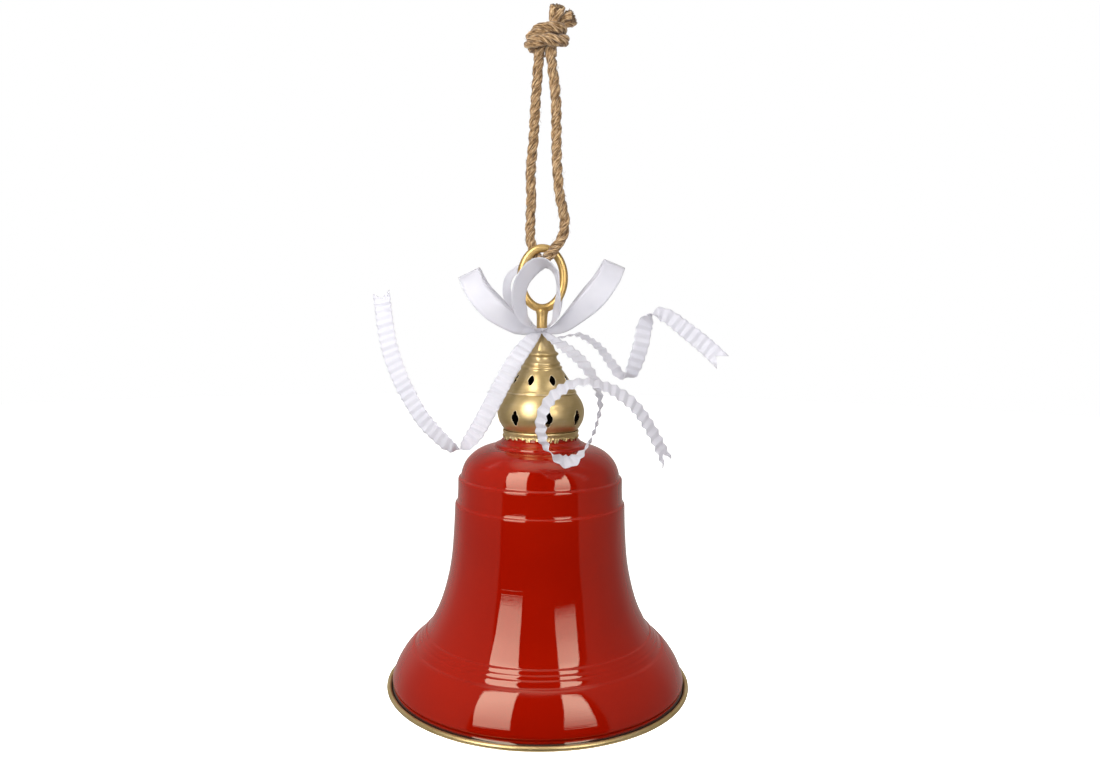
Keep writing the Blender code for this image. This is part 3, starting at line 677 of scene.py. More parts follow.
# Outer face from the hem behind the bead to the neck's hole
BELL_OUTER = [
    (106.2, 0.6), (106.2, 2.4), (105.1, 3.2), (104.6, 4.2), (104.9, 5.2), (105.8, 6.2),
    (105.9, 7.2), (105.3, 9.6), (104.2, 12.6), (102.4, 16.8), (100, 20.9), (97.3, 24.8),
    (94.6, 28.1), (92.2, 30.6), (90.9, 31.5), (89.8, 31.9), (89, 32.7), (88, 34),
    (87.6, 34.6), (86.9, 35.4), (86.15, 36), (85.65, 36.6), (85.3, 37.2), (84.6, 38),
    (83.9, 38.6), (83.35, 39.3), (82.7, 40.2), (82, 41), (81.2, 41.2), (80.5, 42.2),
    (79, 44.6), (76.1, 50.2), (73.4, 55.9), (71.2, 61.6), (68.8, 69), (66.7, 77),
    (65, 85), (63.7, 93.5), (62.9, 101.5), (62.3, 110), (61.9, 117), (61.6, 124),
    (61.4, 131), (61.3, 132.9), (61.1, 134), (60.3, 134.5), (59.8, 135.3), (59.6, 137),
    (59.3, 143), (59.3, 148.5), (59.3, 150.8), (59.1, 152), (58.4, 152.7), (57.6, 153),
    (57.2, 153.8), (57, 155.4), (56.3, 158.2), (54.9, 161.8), (52.9, 165), (50.4, 167.7),
    (47.4, 170.2), (44.6, 171.9), (41.6, 173.2), (38.6, 174.1), (35.6, 174.6), (34, 174.7),
    (33.3, 175.2), (33.1, 176.2), (32.2, 176.9), (30.6, 177.4), (29.4, 178.3), (28.4, 179.3),
    (27.4, NECK_TOP), (26.6, 180.6), (26.3, 181.4), (26.2, 184.4),
]
# Inner face back down from the neck to the hem
BELL_INNER = [
    (25.4, 184.4), (25.3, 181), (24, NECK_TOP - 0.4), (ROD_RADIUS + 0.6, NECK_TOP - 0.2),
    (ROD_RADIUS + 0.6, NECK_TOP - 1.4), (27, NECK_TOP - 1.4), (31.4, 173.6), (36.6, 173.2),
    (41.2, 172), (46.8, 169), (50.6, 165.4), (53.4, 161.4), (55.6, 155), (56.4, 152),
    (58, 149), (58.2, 143), (58.6, 135), (60.2, 131), (60.9, 110), (62.4, 93.3),
    (65.4, 76.7), (70, 60.9), (75, 49.8), (80.4, 40.9), (89.4, 31.3), (96.4, 23.9),
    (101.3, 16.2), (103.7, 10.2), (104, 6), (103.8, 0.6),
]


def bell_ripple(r, h, a):
    """Slow hand-spun unevenness, under a fifth of a millimetre."""
    if r < 30.0 or h < 8.0:
        return r, h
    p = Vector((sin(a) * 1.3, cos(a) * 1.3, h * 0.020))
    return r + 0.16 * noise.noise(p) + 0.05 * noise.noise(p * 3.1), h


def build_bell():
    outline = soften(BELL_OUTER, 2) + soften(BELL_INNER, 1)
    mesh = lathe("bell_shell_spun", outline, BELL_SEGMENTS, bell_ripple)
    place("bell_shell_spun", mesh, "bell", [RED, RED_IN], ["bell_shell"])
    for poly in mesh.polygons:
        height = height_of(poly.center)
        facing = poly.normal.dot(Vector((poly.center.x, poly.center.y, 0.0)).normalized())
        under = 6.5 < height < NECK_TOP - 1.2 and poly.normal.z < -0.3 and facing < 0.2
        if height < COLLAR_HEIGHT and (facing < -0.05 or under):
            poly.material_index = 1
    rows = []
    for a in circle(BELL_SEGMENTS):
        uneven = wander(sin(a) * 5, cos(a) * 5, 2.0)
        swell = BEAD_TUBE * (1.0 + 0.05 * uneven)
        rows.append([around(MOUTH_RADIUS - BEAD_TUBE + swell * cos(b), a,
                            BEAD_TUBE + swell * sin(b)) for b in circle(BEAD_SIDES)])
    bead = band_mesh("rim_bead_rolled", rows)
    place("rim_bead_rolled", bead, "bell", [GOLD], ["rim_bead"])
    # a plain web joins the bead to the hem behind it, in near-black painted shade
    web = lathe("rim_web", [(106, 1), (107, 1), (107, 2.2), (106, 2.2)], 96)
    place("rim_web", web, "bell", [PAINTED_SHADE])


# ---- crown

CROWN_SEGMENTS = 176
CROWN_SHARP_ANGLE = 32.0
BULB_HALF_WIDTH = 31.2
BULB_HALF_HEIGHT = 23.0
BULB_MIDDLE = 199.4
BULB_BOTTOM = 187.0
BULB_TOP = 213.4
SHEET = 1.0
# how far inside the outer face the crown's near-black painted shade begins
PAINTED_SHADE_DEPTH = 0.45
CONE_OUTER = [
    (24.4, 213.7), (25, 214.3), (24.9, 215), (24.1, 215.6), (22.6, 218), (20.8, 221.4),
    (18.6, 225), (16.4, 228.2), (14.8, 230), (14.7, 230.8), (15, 231.5), (14.6, 232.5),
    (13.5, 232.9), (13.2, 233.5), (13.5, 234.3), (13, 235.4), (12, 236.2), (10.9, 238),
    (10.7, 239.4), (11.2, 240.1), (12.1, 240.8), (12.2, 241.8), (11.2, 242.5), (10.2, 243.2),
    (9.4, 244.6), (8.2, 248), (6.6, 251.4), (5.4, 253.8), (4.6, 254.5), (4, 254.5),
]
CONE_INNER = [
    (4, 252.4), (6, 249), (8.2, 243), (9.4, 238.6), (10.8, 234.6), (13, 230),
    (17.4, 225), (20.2, 220.2), (22, 216.6), (23, 213.7),
]
# Holes in a row: count, first angle, height, cutter's inner and outer radius, and how far
# the ones at the back are off the even spacing, so that no light shows straight through
BULB_HOLE_ROW = (8, 10.0, 197.6, 26.0, 36.0, 0.0)
CONE_HOLE_ROW = (8, 24.0, 223.4, 10.0, 28.0, 17.0)
BULB_HOLE_SEED = 5
CONE_HOLE_SEED = 6


def bulb_hole_outline():
    """Pointed oval with a small round lobe at its top and bottom."""
    out = []
    for a in circle(48):
        c, s = cos(a), sin(a)
        over = abs(s) - 0.80
        lobe = 1.0 + 0.48 * max(0.0, over) / 0.20 - 0.16 * exp(-(over / 0.10) ** 2)
        widen = 1.0 + 0.6 * max(0.0, over)
        out.append((copysign(3.15 * abs(c) ** 0.9 * widen, c),
                    copysign(3.65 * abs(s) * lobe, s)))
    return out


def cone_hole_outline():
    """Diamond with gently bowed sides and blunt tips."""
    return [(copysign(2.4 * abs(cos(a)) ** 1.30, cos(a)),
             copysign(3.5 * abs(sin(a)) ** 1.35, sin(a))) for a in circle(32)]


def holes(row, outline, seed):
    """The angle, height and outline of each hole, tilted and sized a little unevenly."""
    count, first, height, _, _, skew = row
    rng = random.Random(seed)
    for i in range(count):
        turn = first + 360.0 * i / count
        if skew and 120.0 < turn % 360.0 < 240.0:
            turn += copysign(skew, turn % 360.0 - 180.0)
        tilt, grow = rng.uniform(-0.06, 0.06), rng.uniform(0.95, 1.05)
        yield radians(turn), height, [((u + v * tilt) * grow, (v - u * tilt) * grow)
                                           for u, v in outline]


def pierce(mesh, row, outline, seed):
    """Cut one row of ornate holes out of a crown shell."""
    bm = bmesh.new()
    for a, height, shape in holes(row, outline, seed):
        outward = Vector((sin(a), -cos(a), 0.0))
        sideways = Vector((cos(a), sin(a), 0.0))
        near, far = [[bm.verts.new(at(*(outward * radius + sideways * u
                                        + Vector((0.0, 0.0, height + v)))))
                      for u, v in shape] for radius in row[3:5]]
        for k in range(len(shape)):
            q = (k + 1) % len(shape)
            bm.faces.new((near[k], near[q], far[q], far[k]))
        bm.faces.new(near[::-1])
        bm.faces.new(far)
    bmesh.ops.recalc_face_normals(bm, faces=bm.faces)
    cutter_mesh = bpy.data.meshes.new("cutter")
    bm.to_mesh(cutter_mesh)
    bm.free()
    target = new_object("pierce_target", mesh)
    cutter = new_object("pierce_cutter", cutter_mesh)
    mod = target.modifiers.new("cut", "BOOLEAN")
    mod.operation = "DIFFERENCE"
    mod.object = cutter
    mod.solver = "EXACT"
    bpy.context.view_layer.update()
    graph = bpy.context.evaluated_depsgraph_get()
    cut = bpy.data.meshes.new_from_object(target.evaluated_get(graph))
    for obj in (target, cutter):
        bpy.data.objects.remove(obj)
    return cut


def surface_radius(outline, height):
    """Radius of an outer outline at a height, by the first stretch that spans it."""
    for (r0, h0), (r1, h1) in zip(outline, outline[1:]):
        if h0 <= height <= h1 and h1 > h0:
            return r0 + (r1 - r0) * (height - h0) / (h1 - h0)
    return outline[-1][0]


def hole_lips(name, row, outline, seed, surface):
    """The thin turned lip round each hole, laid on the shell's face, in a paler gilt that is a
    painted highlight along the rim.
    """
    meshes = []
    for a, height, shape in holes(row, outline, seed):
        loop = []
        for u, v in shape:
            h = height + v * 1.03
            r = surface_radius(surface, h)
            b = a + asin(max(-1.0, min(1.0, u * 1.03 / r)))
            loop.append(Vector((r * sin(b), -r * cos(b), h)))
        rows = []
        for k, point in enumerate(loop):
            along = (loop[(k + 1) % len(loop)] - loop[k - 1]).normalized()
            out = Vector((point.x, point.y, 0.0)).normalized()
            out = (out - along * out.dot(along)).normalized()
            side = along.cross(out)
            rows.append([at(*(point + out * 0.20 * cos(b) + side * 0.24 * sin(b)))
                         for b in circle(8)])
        meshes.append(grid_mesh(name, rows, wrap_cols=True, wrap_rows=True))
    place(name, tidy_mesh(join_meshes(name, meshes)), "bell", [GOLD_LIP_HIGHLIGHT])


def crown_shell(part, outer, inner, row, outline, seed):
    """A spun, slightly dented shell with its holes, in near-black painted shade on all but its
    outer face.
    """
    def dented(r, h, a):
        p = Vector((sin(a) * 2.2, cos(a) * 2.2, h * 0.09))
        return r + 0.22 * noise.noise(p), h

    name = part + "_pierced"
    mesh = pierce(lathe(name, outer + inner, CROWN_SEGMENTS, dented), row, outline, seed)
    tidy_mesh(mesh, merge=False, angle=CROWN_SHARP_ANGLE)
    place(name, mesh, "bell", [GOLD, PAINTED_SHADE], [part])
    # faces set back from the outer face take the near-black painted shade
    for poly in mesh.polygons:
        radius = hypot(poly.center.x, poly.center.y) / MM
        if radius < surface_radius(outer, height_of(poly.center)) - PAINTED_SHADE_DEPTH:
            poly.material_index = 1


def build_crown():
    low = asin((BULB_BOTTOM - BULB_MIDDLE) / BULB_HALF_HEIGHT)
    high = asin((BULB_TOP - BULB_MIDDLE) / BULB_HALF_HEIGHT)
    steps = [low + (high - low) * i / 30 for i in range(31)]
    bulb, inner = [[(width * cos(t), BULB_MIDDLE + BULB_HALF_HEIGHT * sin(t))
                    for t in way] for width, way in ((BULB_HALF_WIDTH, steps),
                                                     (BULB_HALF_WIDTH - SHEET, steps[::-2]))]
    holed = (BULB_HOLE_ROW, bulb_hole_outline(), BULB_HOLE_SEED)
    crown_shell("crown_bulb", bulb, inner, *holed)
    hole_lips("bulb_hole_lips", *holed, bulb)
    cone = soften(CONE_OUTER, 2)
    holed = (CONE_HOLE_ROW, cone_hole_outline(), CONE_HOLE_SEED)
    crown_shell("crown_cone", cone, soften(CONE_INNER, 1), *holed)
    # the seam lip takes the paler gilt: a painted highlight along the seam
    seam = ring_of_wire("crown_seam_lip", 24.85, 0.6, 213.75, "Z", 144, 12)
    place("crown_seam_lip", seam, "bell", [GOLD_LIP_HIGHLIGHT])
    hole_lips("cone_hole_lips", *holed, cone)
    build_collar()


COLLAR_SEGMENTS = 720
COLLAR_EDGE = (27.0, 184.0)
COLLAR_BAND = [(26.5, 186.75), (27.0, 186.9), (27.4, 186.5), (27.35, 185.6), (27.1, 184.8),
               COLLAR_EDGE]
LEAF_ROOT = 0.35
LEAF_ROWS = 6


def build_collar():
    """A rolled gilt band whose lower edge is snipped into small uneven leaves."""
    rng = random.Random(44)
    leaves = []
    a = 0.0
    while a < tau - 0.05:
        width = rng.uniform(0.050, 0.085)
        length = rng.uniform(0.9, 3.4)
        rng.uniform(-0.02, 0.02)  # a spare draw, which keeps the leaves as they are
        leaves.append((a, a + width, length, 1.0 if rng.random() < 0.8 else 0.45))
        a += width

    def leaf_drop(angle):
        for start, end, length, share in leaves:
            if start <= angle < end:
                t = (angle - start) / (end - start)
                shape = max(0.0, min(1.0, 4.5 * min(t + 0.03, 1.02 - t)))
                return LEAF_ROOT + length * shape ** 0.8 * share
        return LEAF_ROOT

    drops = [(a, leaf_drop(a)) for a in circle(COLLAR_SEGMENTS)]

    def leaf_row(radius, share):
        """One ring of the leaves, from 0 at the band to 1 at their tips."""
        flare = radius + 0.35 * share ** 2
        return [around(flare + 0.22 * sin(a * 61.0) * share, a, COLLAR_EDGE[1] - drop * share)
                for a, drop in drops]

    rows = [[around(r, a, h) for a in circle(COLLAR_SEGMENTS)] for r, h in COLLAR_BAND]
    rows += [leaf_row(COLLAR_EDGE[0], k / LEAF_ROWS) for k in range(1, LEAF_ROWS + 1)]
    rows += [leaf_row(COLLAR_EDGE[0] - 0.45, k / LEAF_ROWS) for k in range(LEAF_ROWS, -1, -2)]
    mesh = band_mesh("crown_collar_leafed", rows, 50.0)
    place("crown_collar_leafed", mesh, "bell", [GOLD],
          ["crown_collar"])


# ---- ring, rod, nuts and clapper

RING_WIRE = 3.0
RING_HALF_WIDTH = 15.2
RING_HALF_HEIGHT = 21.2
RING_CENTRE = 295.0
STEM_RADIUS = 3.8
ROD_FOOT = 165.0
THREAD_TOP = 172.0
WIRE = 1.4
PLAY = 0.3
BALL_RADIUS = 14.0
BALL_HEIGHT = 22.0
BALL_BORE = 2.5


def thread(crest, root, top, turns):
    """Outline of a cut thread of half a millimetre a turn."""
    out = []
    for i in range(turns):
        start = top - 0.5 * i
        out += [(crest, start - 0.1), (root, start - 0.25), (crest, start - 0.4)]
    return out


def build_ring():
    rows = []
    for a in circle(128):
        c, s = cos(a), sin(a)
        centre = Vector((RING_HALF_WIDTH * c, 0.0, RING_CENTRE + RING_HALF_HEIGHT * s))
        along = Vector((-RING_HALF_WIDTH * s, 0.0, RING_HALF_HEIGHT * c)).normalized()
        out = Vector((along.z, 0.0, -along.x))
        worn = RING_WIRE * (1.0 + 0.03 * wander(c * 2, s * 2, 4.0))
        rows.append([at(*(centre + out * worn * cos(b)
                          + Vector((0, 1, 0)) * worn * sin(b))) for b in circle(24)])
    ring = band_mesh("ring", rows)
    foot = RING_CENTRE - RING_HALF_HEIGHT
    stem = [(0.0, foot + 1.0), (3.4, foot + 0.2), (4.6, foot - 1.4), (4.5, foot - 2.6),
            (4.0, foot - 4.4), (STEM_RADIUS, foot - 7.0), (STEM_RADIUS, 260.0),
            (STEM_RADIUS, 250.2), (3.5, 249.4), (ROD_RADIUS, 249.0), (ROD_RADIUS, THREAD_TOP)]
    stem += thread(ROD_RADIUS - 0.05, ROD_RADIUS - 0.32, THREAD_TOP, 14)
    stem += [(ROD_RADIUS - 0.4, ROD_FOOT), (0.0, ROD_FOOT)]
    mesh = join_meshes("hanging_ring_and_rod", [ring, lathe("stem", stem, 48)], 50.0)
    place("hanging_ring_and_rod", mesh, "bell", [GOLD_RING], ["hanger_eye_rod"])


def hex_nut(name, across_flats, bore, bottom, top):
    """A hexagon nut with chamfered corners on both faces."""
    corner = across_flats / sqrt(3.0)
    rows = []
    for height, inward in ((bottom, 1.0), (top, -1.0)):
        face = [[around(r, a, height) for a in circle(96)] for r in (bore, 0.46 * across_flats)]
        rim = []
        for a in circle(96):
            edge = corner * cos(pi / 6) / cos(a % (pi / 3) - pi / 6)
            chamfer = ((edge - across_flats / 2.0) * 0.9 + 0.15) * 0.55
            rim.append(around(edge, a, height + inward * chamfer))
        face.append(rim)
        rows += face if inward > 0.0 else face[::-1]
    return band_mesh(name, rows, 25.0)


def plated(name, mesh, body, node_name):
    place(name, mesh, body, [ZINC], [node_name])


def build_hardware():
    washer_top = NECK_TOP - 1.4 - PLAY
    washer_foot = washer_top - 1.6
    washer = soften([(3.5, washer_foot), (12.0, washer_foot), (12.0, washer_top),
                     (3.5, washer_top)], 1, closed=True)
    plated("washer_plated", lathe("washer_plated", washer, 72), "bell", "inner_washer")
    nut_top = washer_foot - PLAY
    nut = hex_nut("lock_nut_plated", 10.0, 3.3, nut_top - 5.0, nut_top)
    plated("lock_nut_plated", nut, "bell", "inner_nut")
    shank_top = nut_top - 5.0 - PLAY
    shank = [(0.0, 158.7), (3.2, 158.9), (4.6, 160.0), (5.0, 161.5), (5.0, shank_top - 0.5),
             (4.6, shank_top), (3.3, shank_top), (3.3, 164.0), (0.0, 164.0)]
    eye = ring_of_wire("eye", 6.0, 1.5, 153.5, "Y")
    mesh = join_meshes("clapper_eye_nut_plated", [lathe("shank", shank, 48), eye], 45.0)
    plated("clapper_eye_nut_plated", mesh, "bell", "clapper_eye_nut")

    link = ring_of_wire("clapper_link_plated", 6.0, WIRE, 144.7, "X")
    plated("clapper_link_plated", link, "link", "clapper_link")

    eye_centre = 144.7 - 6.0 + 2.0 * WIRE + PLAY - 4.5
    eye = ring_of_wire("eye", 4.5, WIRE, eye_centre, "Y")
    rod_top = eye_centre - 4.5 + 0.6
    rod = [(0.0, rod_top), (1.6, rod_top), (2.2, rod_top - 1.0), (2.2, 12.0), (2.2, 9.0)]
    rod += thread(2.2, 1.95, 9.0, 8) + [(1.9, 5.0), (0.0, 5.0)]
    mesh = join_meshes("clapper_rod_plated", [eye, lathe("rod", rod, 40)], 45.0)
    plated("clapper_rod_plated", mesh, "clapper", "clapper_rod")

    ball = []
    lean = acos(BALL_BORE / BALL_RADIUS)
    for i in range(49):
        t = -lean + 2.0 * lean * i / 48
        seam = 0.16 * exp(-(t / 0.03) ** 2)
        ball.append(((BALL_RADIUS + seam) * cos(t), BALL_HEIGHT + BALL_RADIUS * sin(t)))
    plated("clapper_ball_plated", lathe("clapper_ball_plated", ball, 96), "clapper",
           "clapper_ball")
    nut_top = BALL_HEIGHT - sqrt(BALL_RADIUS ** 2 - BALL_BORE ** 2) - PLAY
    nut = hex_nut("clapper_nut_plated", 7.0, BALL_BORE, nut_top - 2.4, nut_top)
    plated("clapper_nut_plated", nut, "clapper", "clapper_nut")


# ---- bow

LOOP_WIDTH = 16.0
TAIL_WIDTH = 13.0
LOOP_THICKNESS = 0.32
TAIL_THICKNESS = 0.30
COLUMNS = 9
# Ribbon stations: centre, direction across the ribbon, and the width where it is gathered
LOOPS = {
    "bow_loop_left": [
        (-2.2, -6.3, 258.2, 0.55, 0.3, 0.78, 3), (-7, -7, 257.6, 0.7, 0, 0.71, 5.5),
        (-12.5, -8.6, 259, 0.72, 0, 0.69, 9), (-18, -12, 261.5, 0.74, 0, 0.67, 12),
        (-34, -18, 272.5, 0.81, 0, 0.58), (-45, -15, 284.5, 0.92, 0, 0.4),
        (-51, -8.5, 296, 0.9, 0, 0.45), (-52, -2, 298.5, 0.9, 0, 0.45),
        (-51, 5, 297, 0.9, 0, 0.45), (-45, 13, 286, 0.9, 0, 0.43), (-33, 15.5, 273, 0.81, 0, 0.58),
        (-19, 12, 262, 0.74, 0, 0.67, 11), (-12, 7, 259, 0.72, 0, 0.69, 8),
        (-6.2, 3.2, 257.6, 0.6, 0, 0.75, 4),
    ],
    "bow_loop_right": [
        (2.2, -6.3, 258.2, 0.55, -0.3, -0.78, 3), (7.2, -7, 258.2, 0.7, 0, -0.71, 5.5),
        (13, -8.6, 260.5, 0.72, 0, -0.69, 9), (19.5, -12.5, 265.5, 0.76, 0, -0.65, 12),
        (34.5, -18, 279.5, 0.83, 0, -0.56), (45, -15, 293, 0.94, 0, -0.34),
        (50, -8.5, 303.5, 0.92, 0, -0.38), (51, -2, 306, 0.92, 0, -0.38),
        (50, 5, 304.5, 0.92, 0, -0.38), (44, 13, 294, 0.9, 0, -0.43),
        (33, 15.5, 280, 0.83, 0, -0.56), (20, 12, 266, 0.76, 0, -0.65, 12),
        (12.5, 7, 260.5, 0.72, 0, -0.69, 8), (6.2, 3.2, 257.6, 0.6, 0, -0.75, 4),
    ],
    "bow_loop_front": [
        (-1, -7, 258, 0, -0.96, 0.29, 2.5), (-6.5, -11.5, 261, -0.4, -0.85, 0.3, 9),
        (-13, -16.5, 268.6, -0.57, -0.75, 0.25, 14), (-16, -20, 279, -0.5, -0.8, 0.28),
        (-14, -22.5, 291.5, -0.54, -0.8, 0.27), (-6.2, -23, 301.8, -0.55, -0.75, 0.35),
        (2.5, -23.3, 304.3, -0.35, -0.85, 0.42), (9.1, -22.5, 298, 0, -0.92, 0.4),
        (11.4, -20, 284.8, 0.12, -0.98, 0.2), (9.8, -14.5, 270.2, 0.4, -0.85, 0.2, 12),
        (5.5, -11, 262, 0.3, -0.9, 0.3, 8), (1.4, -7.4, 258.4, 0.2, -0.92, 0.3, 2.5),
    ],
    "bow_loop_back": [
        (-1.5, 6.6, 257.8, 0, 0.96, 0.29, 3), (-7.5, 12, 262, -0.5, 0.8, 0.2, 9),
        (-15.5, 16, 269.5, -0.6, 0.75, 0.2, 14), (-24, 20, 279, -0.5, 0.85, 0.1),
        (-26.5, 22, 288.5, -0.4, 0.9, 0), (-23.5, 23.5, 298, -0.4, 0.9, 0.1),
        (-14, 24.5, 304, -0.3, 0.9, 0.3), (-2.5, 24.5, 306, 0, 0.95, 0.3),
        (9, 24, 301.5, 0.1, 0.95, 0.2), (14.5, 21.5, 288, 0.05, 1, 0),
        (12, 16.5, 270.5, 0.2, 0.95, 0.1, 12), (6, 11.5, 262, 0.2, 0.9, 0.2, 8),
        (1.5, 6.6, 257.8, 0.1, 0.95, 0.2, 3),
    ],
}
# The same, with the depth of the notch in the end, and the pitch and height of the crimps
STREAMERS = {
    "streamer_left": ([
        (-0.8, -6.8, 257.2, 0.8, -0.3, -0.5, 2.5), (-5.5, -9.2, 253.6, 0.95, -0.1, -0.25, 8),
        (-12.5, -13.5, 245.5, 0.9, -0.3, -0.25, 12), (-20.5, -19, 233.5, 0.9, -0.35, -0.25),
        (-32.5, -26.5, 210.5, 0.9, -0.35, -0.25), (-43, -32, 190.5, 0.9, -0.4, -0.2),
        (-50, -34, 181, 0.8, -0.55, 0), (-55.5, -35, 178, 0.75, -0.6, 0.2),
        (-62.5, -35, 180, 0.7, -0.6, 0.4), (-72, -33, 188, 0.7, -0.5, 0.5),
        (-83, -30, 200, 0.75, -0.4, 0.5), (-97.5, -24, 224.5, 0.85, -0.35, 0.35),
        (-107, -18, 250.5, 0.9, -0.3, 0.25), (-113, -10, 284, 0.95, -0.3, 0.1),
    ], 5, 5.3, 0.7),
    "streamer_right": ([
        (4.4, 3.4, 256.4, -0.6, 0.7, 0.2, 3), (9.6, 5.2, 253, -0.4, 0.9, 0, 6),
        (16, 4.4, 253.6, 0.2, 0.95, 0.1, 10), (25.5, 2, 255.4, 0.35, 0.9, 0.1),
        (34, -2, 251.6, 0.4, 0.85, 0.1), (41.5, -6, 246, 0.4, 0.85, 0.1),
        (50, -10, 235, 0.5, 0.8, 0.1), (56.5, -13, 227, 0.6, 0.75, 0.1),
        (62, -15, 227.5, 0.75, 0.65, 0), (66, -16, 237, 0.85, 0.5, -0.1),
        (69.5, -16.5, 250, 0.88, 0.45, -0.15), (72.5, -16, 264, 0.85, 0.5, 0),
        (79.5, -16, 271, 0.6, 0.65, 0.5), (88, -17, 269, 0.55, 0.6, 0.6),
        (97, -18, 262.5, 0.6, 0.5, 0.65), (113.5, -20, 249.5, 0.65, 0.35, 0.68),
        (126, -22, 238, 0.7, 0.3, 0.66),
    ], 6.5, 5.8, 0.7),
    "streamer_front": ([
        (0.8, -6.9, 257.2, 0.8, 0.2, 0.4, 2.5), (6.5, -10.8, 253, 0.65, 0.65, 0.3, 7),
        (14.3, -18, 248.5, 0.5, 0.8, 0.3, 11), (26.5, -30, 239, 0.45, 0.85, 0.25),
        (36, -40, 226, 0.35, 0.9, 0.2), (39.5, -46.5, 212.5, 0.25, 0.95, 0.2),
        (37.5, -53, 198.5, 0.2, 0.95, 0.2), (31, -59, 184.5, 0.35, 0.85, 0.35),
        (20, -64, 175, 0.1, 0.85, 0.45), (8.5, -66, 178.5, -0.3, 0.85, 0.3),
        (1.5, -66, 190, -0.5, 0.85, 0), (1, -66, 204, -0.5, 0.85, 0),
        (7, -67, 216, -0.4, 0.85, 0.2), (17.5, -69, 224.5, -0.2, 0.9, 0.3),
        (28, -70, 227.5, 0.1, 0.95, 0.25), (39, -70, 225.5, 0.15, 0.92, 0.3),
        (50.5, -68, 220, 0.28, 0.86, 0.4), (62.5, -66, 210.5, 0.38, 0.82, 0.4),
        (74, -64, 193.5, 0.5, 0.8, 0.28), (84, -62, 173.5, 0.58, 0.78, 0.2),
    ], 7.5, 6.4, 0.9),
}


def ribbon_strip(name, stations, width, thickness, phase, notch=0.0, pitch=1.0, crimp=0.0):
    """A thin strip through its stations, crimped and notched when these are over 0."""
    rows = smooth_points([s if len(s) == 7 else (*s, width) for s in stations], 24)
    centres = [Vector(row[0:3]) for row in rows]
    run = [0.0]
    for a, b in zip(centres, centres[1:]):
        run.append(run[-1] + (b - a).length)
    total = run[-1]

    def frame_at(s):
        s = max(0.0, min(total, s))
        low = min(bisect.bisect_right(run, s) - 1, len(run) - 2)
        high = low + 1
        t = (s - run[low]) / max(1e-9, run[high] - run[low])
        centre = centres[low].lerp(centres[high], t)
        before, after = centres[max(low - 2, 0)], centres[min(high + 2, len(centres) - 1)]
        along = (after - before).normalized()
        row = [p + (q - p) * t for p, q in zip(rows[low], rows[high])]
        hint = Vector(row[3:6])
        across = (hint - along * hint.dot(along)).normalized()
        return centre, across, across.cross(along).normalized(), row[6]

    count = int(total / (0.42 if crimp else 1.2))
    notch_start = total - 2.2 * notch
    out = []
    for i in range(count + 1):
        row = []
        for j in range(COLUMNS):
            s = total * i / count
            u = 2.0 * j / (COLUMNS - 1) - 1.0
            if notch and s > notch_start:
                end = total - notch * (1.0 - abs(u))
                s = notch_start + (s - notch_start) * (end - notch_start) / (total - notch_start)
            centre, across, face, wide = frame_at(s)
            lift = 0.0
            if crimp:
                warp = s / pitch + 0.22 * wander(s * 0.06, phase, 0.0)
                wave = asin(0.93 * sin(tau * warp)) / asin(0.93)
                uneven = 0.8 + 0.35 * wander(s * 0.11, phase + 4.0, u * 0.3)
                lift += crimp * wave * uneven * min(1.0, s / 16.0)
            cup = min(1.0, max(0.0, (width - wide) / width))
            lift += (1.5 * cup) * (1.0 - u * u) + 0.12 * wander(s * 0.05, u * 0.8, phase + 9.0)
            row.append(at(*(centre + across * (u * wide / 2.0) + face * lift)))
        out.append(row)
    us = [j / (COLUMNS - 1) for j in range(COLUMNS)] + [1.0]
    mesh = grid_mesh(name + "_ribbon", out, us=us,
                     vs=[total * i / count * MM for i in range(count + 2)])
    mesh.shade_smooth()
    if crimp:
        mesh.set_sharp_from_angle(angle=radians(50.0))
    obj = place(name + "_ribbon", mesh, "bow", [CRIMPED if crimp else SMOOTH], [name])
    solid = obj.modifiers.new("thickness", "SOLIDIFY")
    solid.thickness = thickness * MM
    solid.offset = 0.0


def build_bow():
    for k, (name, stations) in enumerate(LOOPS.items()):
        ribbon_strip(name, stations, LOOP_WIDTH, LOOP_THICKNESS, k * 3.0)
    for k, (name, (stations, *crimping)) in enumerate(STREAMERS.items()):
        ribbon_strip(name, stations, TAIL_WIDTH, TAIL_THICKNESS, 20.0 + k * 5.0, *crimping)

    def gathered(r, h, a):
        return r + 0.25 * sin(a * 9.0) + 0.15 * wander(a * 3, h, 1.0), h

    tie = soften([(4.15, 256.4), (5.4, 256.2), (5.9, 257.0), (6.0, 258.0), (5.8, 259.2),
                  (5.2, 259.8), (4.15, 259.6)], 2, closed=True)
    place("bow_tie_band", lathe("bow_tie_band", tie, 120, gathered), "bow", [SMOOTH],
          ["bow_tie"])


# ---- studio

FLOOR_RADIUS = 9.0
FLOOR_HEIGHT = -1.15
LIGHT_COLOUR = (1.0, 0.965, 0.90, 1.0)
SOFTBOX_COLOUR = (1.0, 0.985, 0.97, 1.0)
WORLD_LEVEL = 0.010
FILL_TARGET = (0.0, 0.0, -0.25)
# Soft panels: corners (bottom left, bottom right, top right, top left), and the glow at
# the bottom and from SOFTBOX_RISE of the way up
SOFTBOX_RISE = 0.55
SOFTBOXES = {
    "softbox_left": ([(-470, -500, 114), (-158, -500, 114), (-150, -350, 820),
                      (-530, -350, 820)], 3.9, 7.4),
    "softbox_right": ([(160, -500, 148), (440, -500, 148), (345, -370, 650),
                       (185, -370, 650)], 2.4, 6.8),
}
# Fill lamps: place and size in metres, and watts
FILLS = {
    "fill_back": ((0.0, 2.2, 0.2), (2.6, 2.2), 85.0),
    "fill_front": ((0.0, -2.6, 0.1), (2.6, 2.2), 22.0),
    "fill_left": ((-2.2, 0.3, 0.2), (2.0, 2.0), 26.0),
    "fill_right": ((2.2, 0.3, 0.2), (2.0, 2.0), 9.0),
}


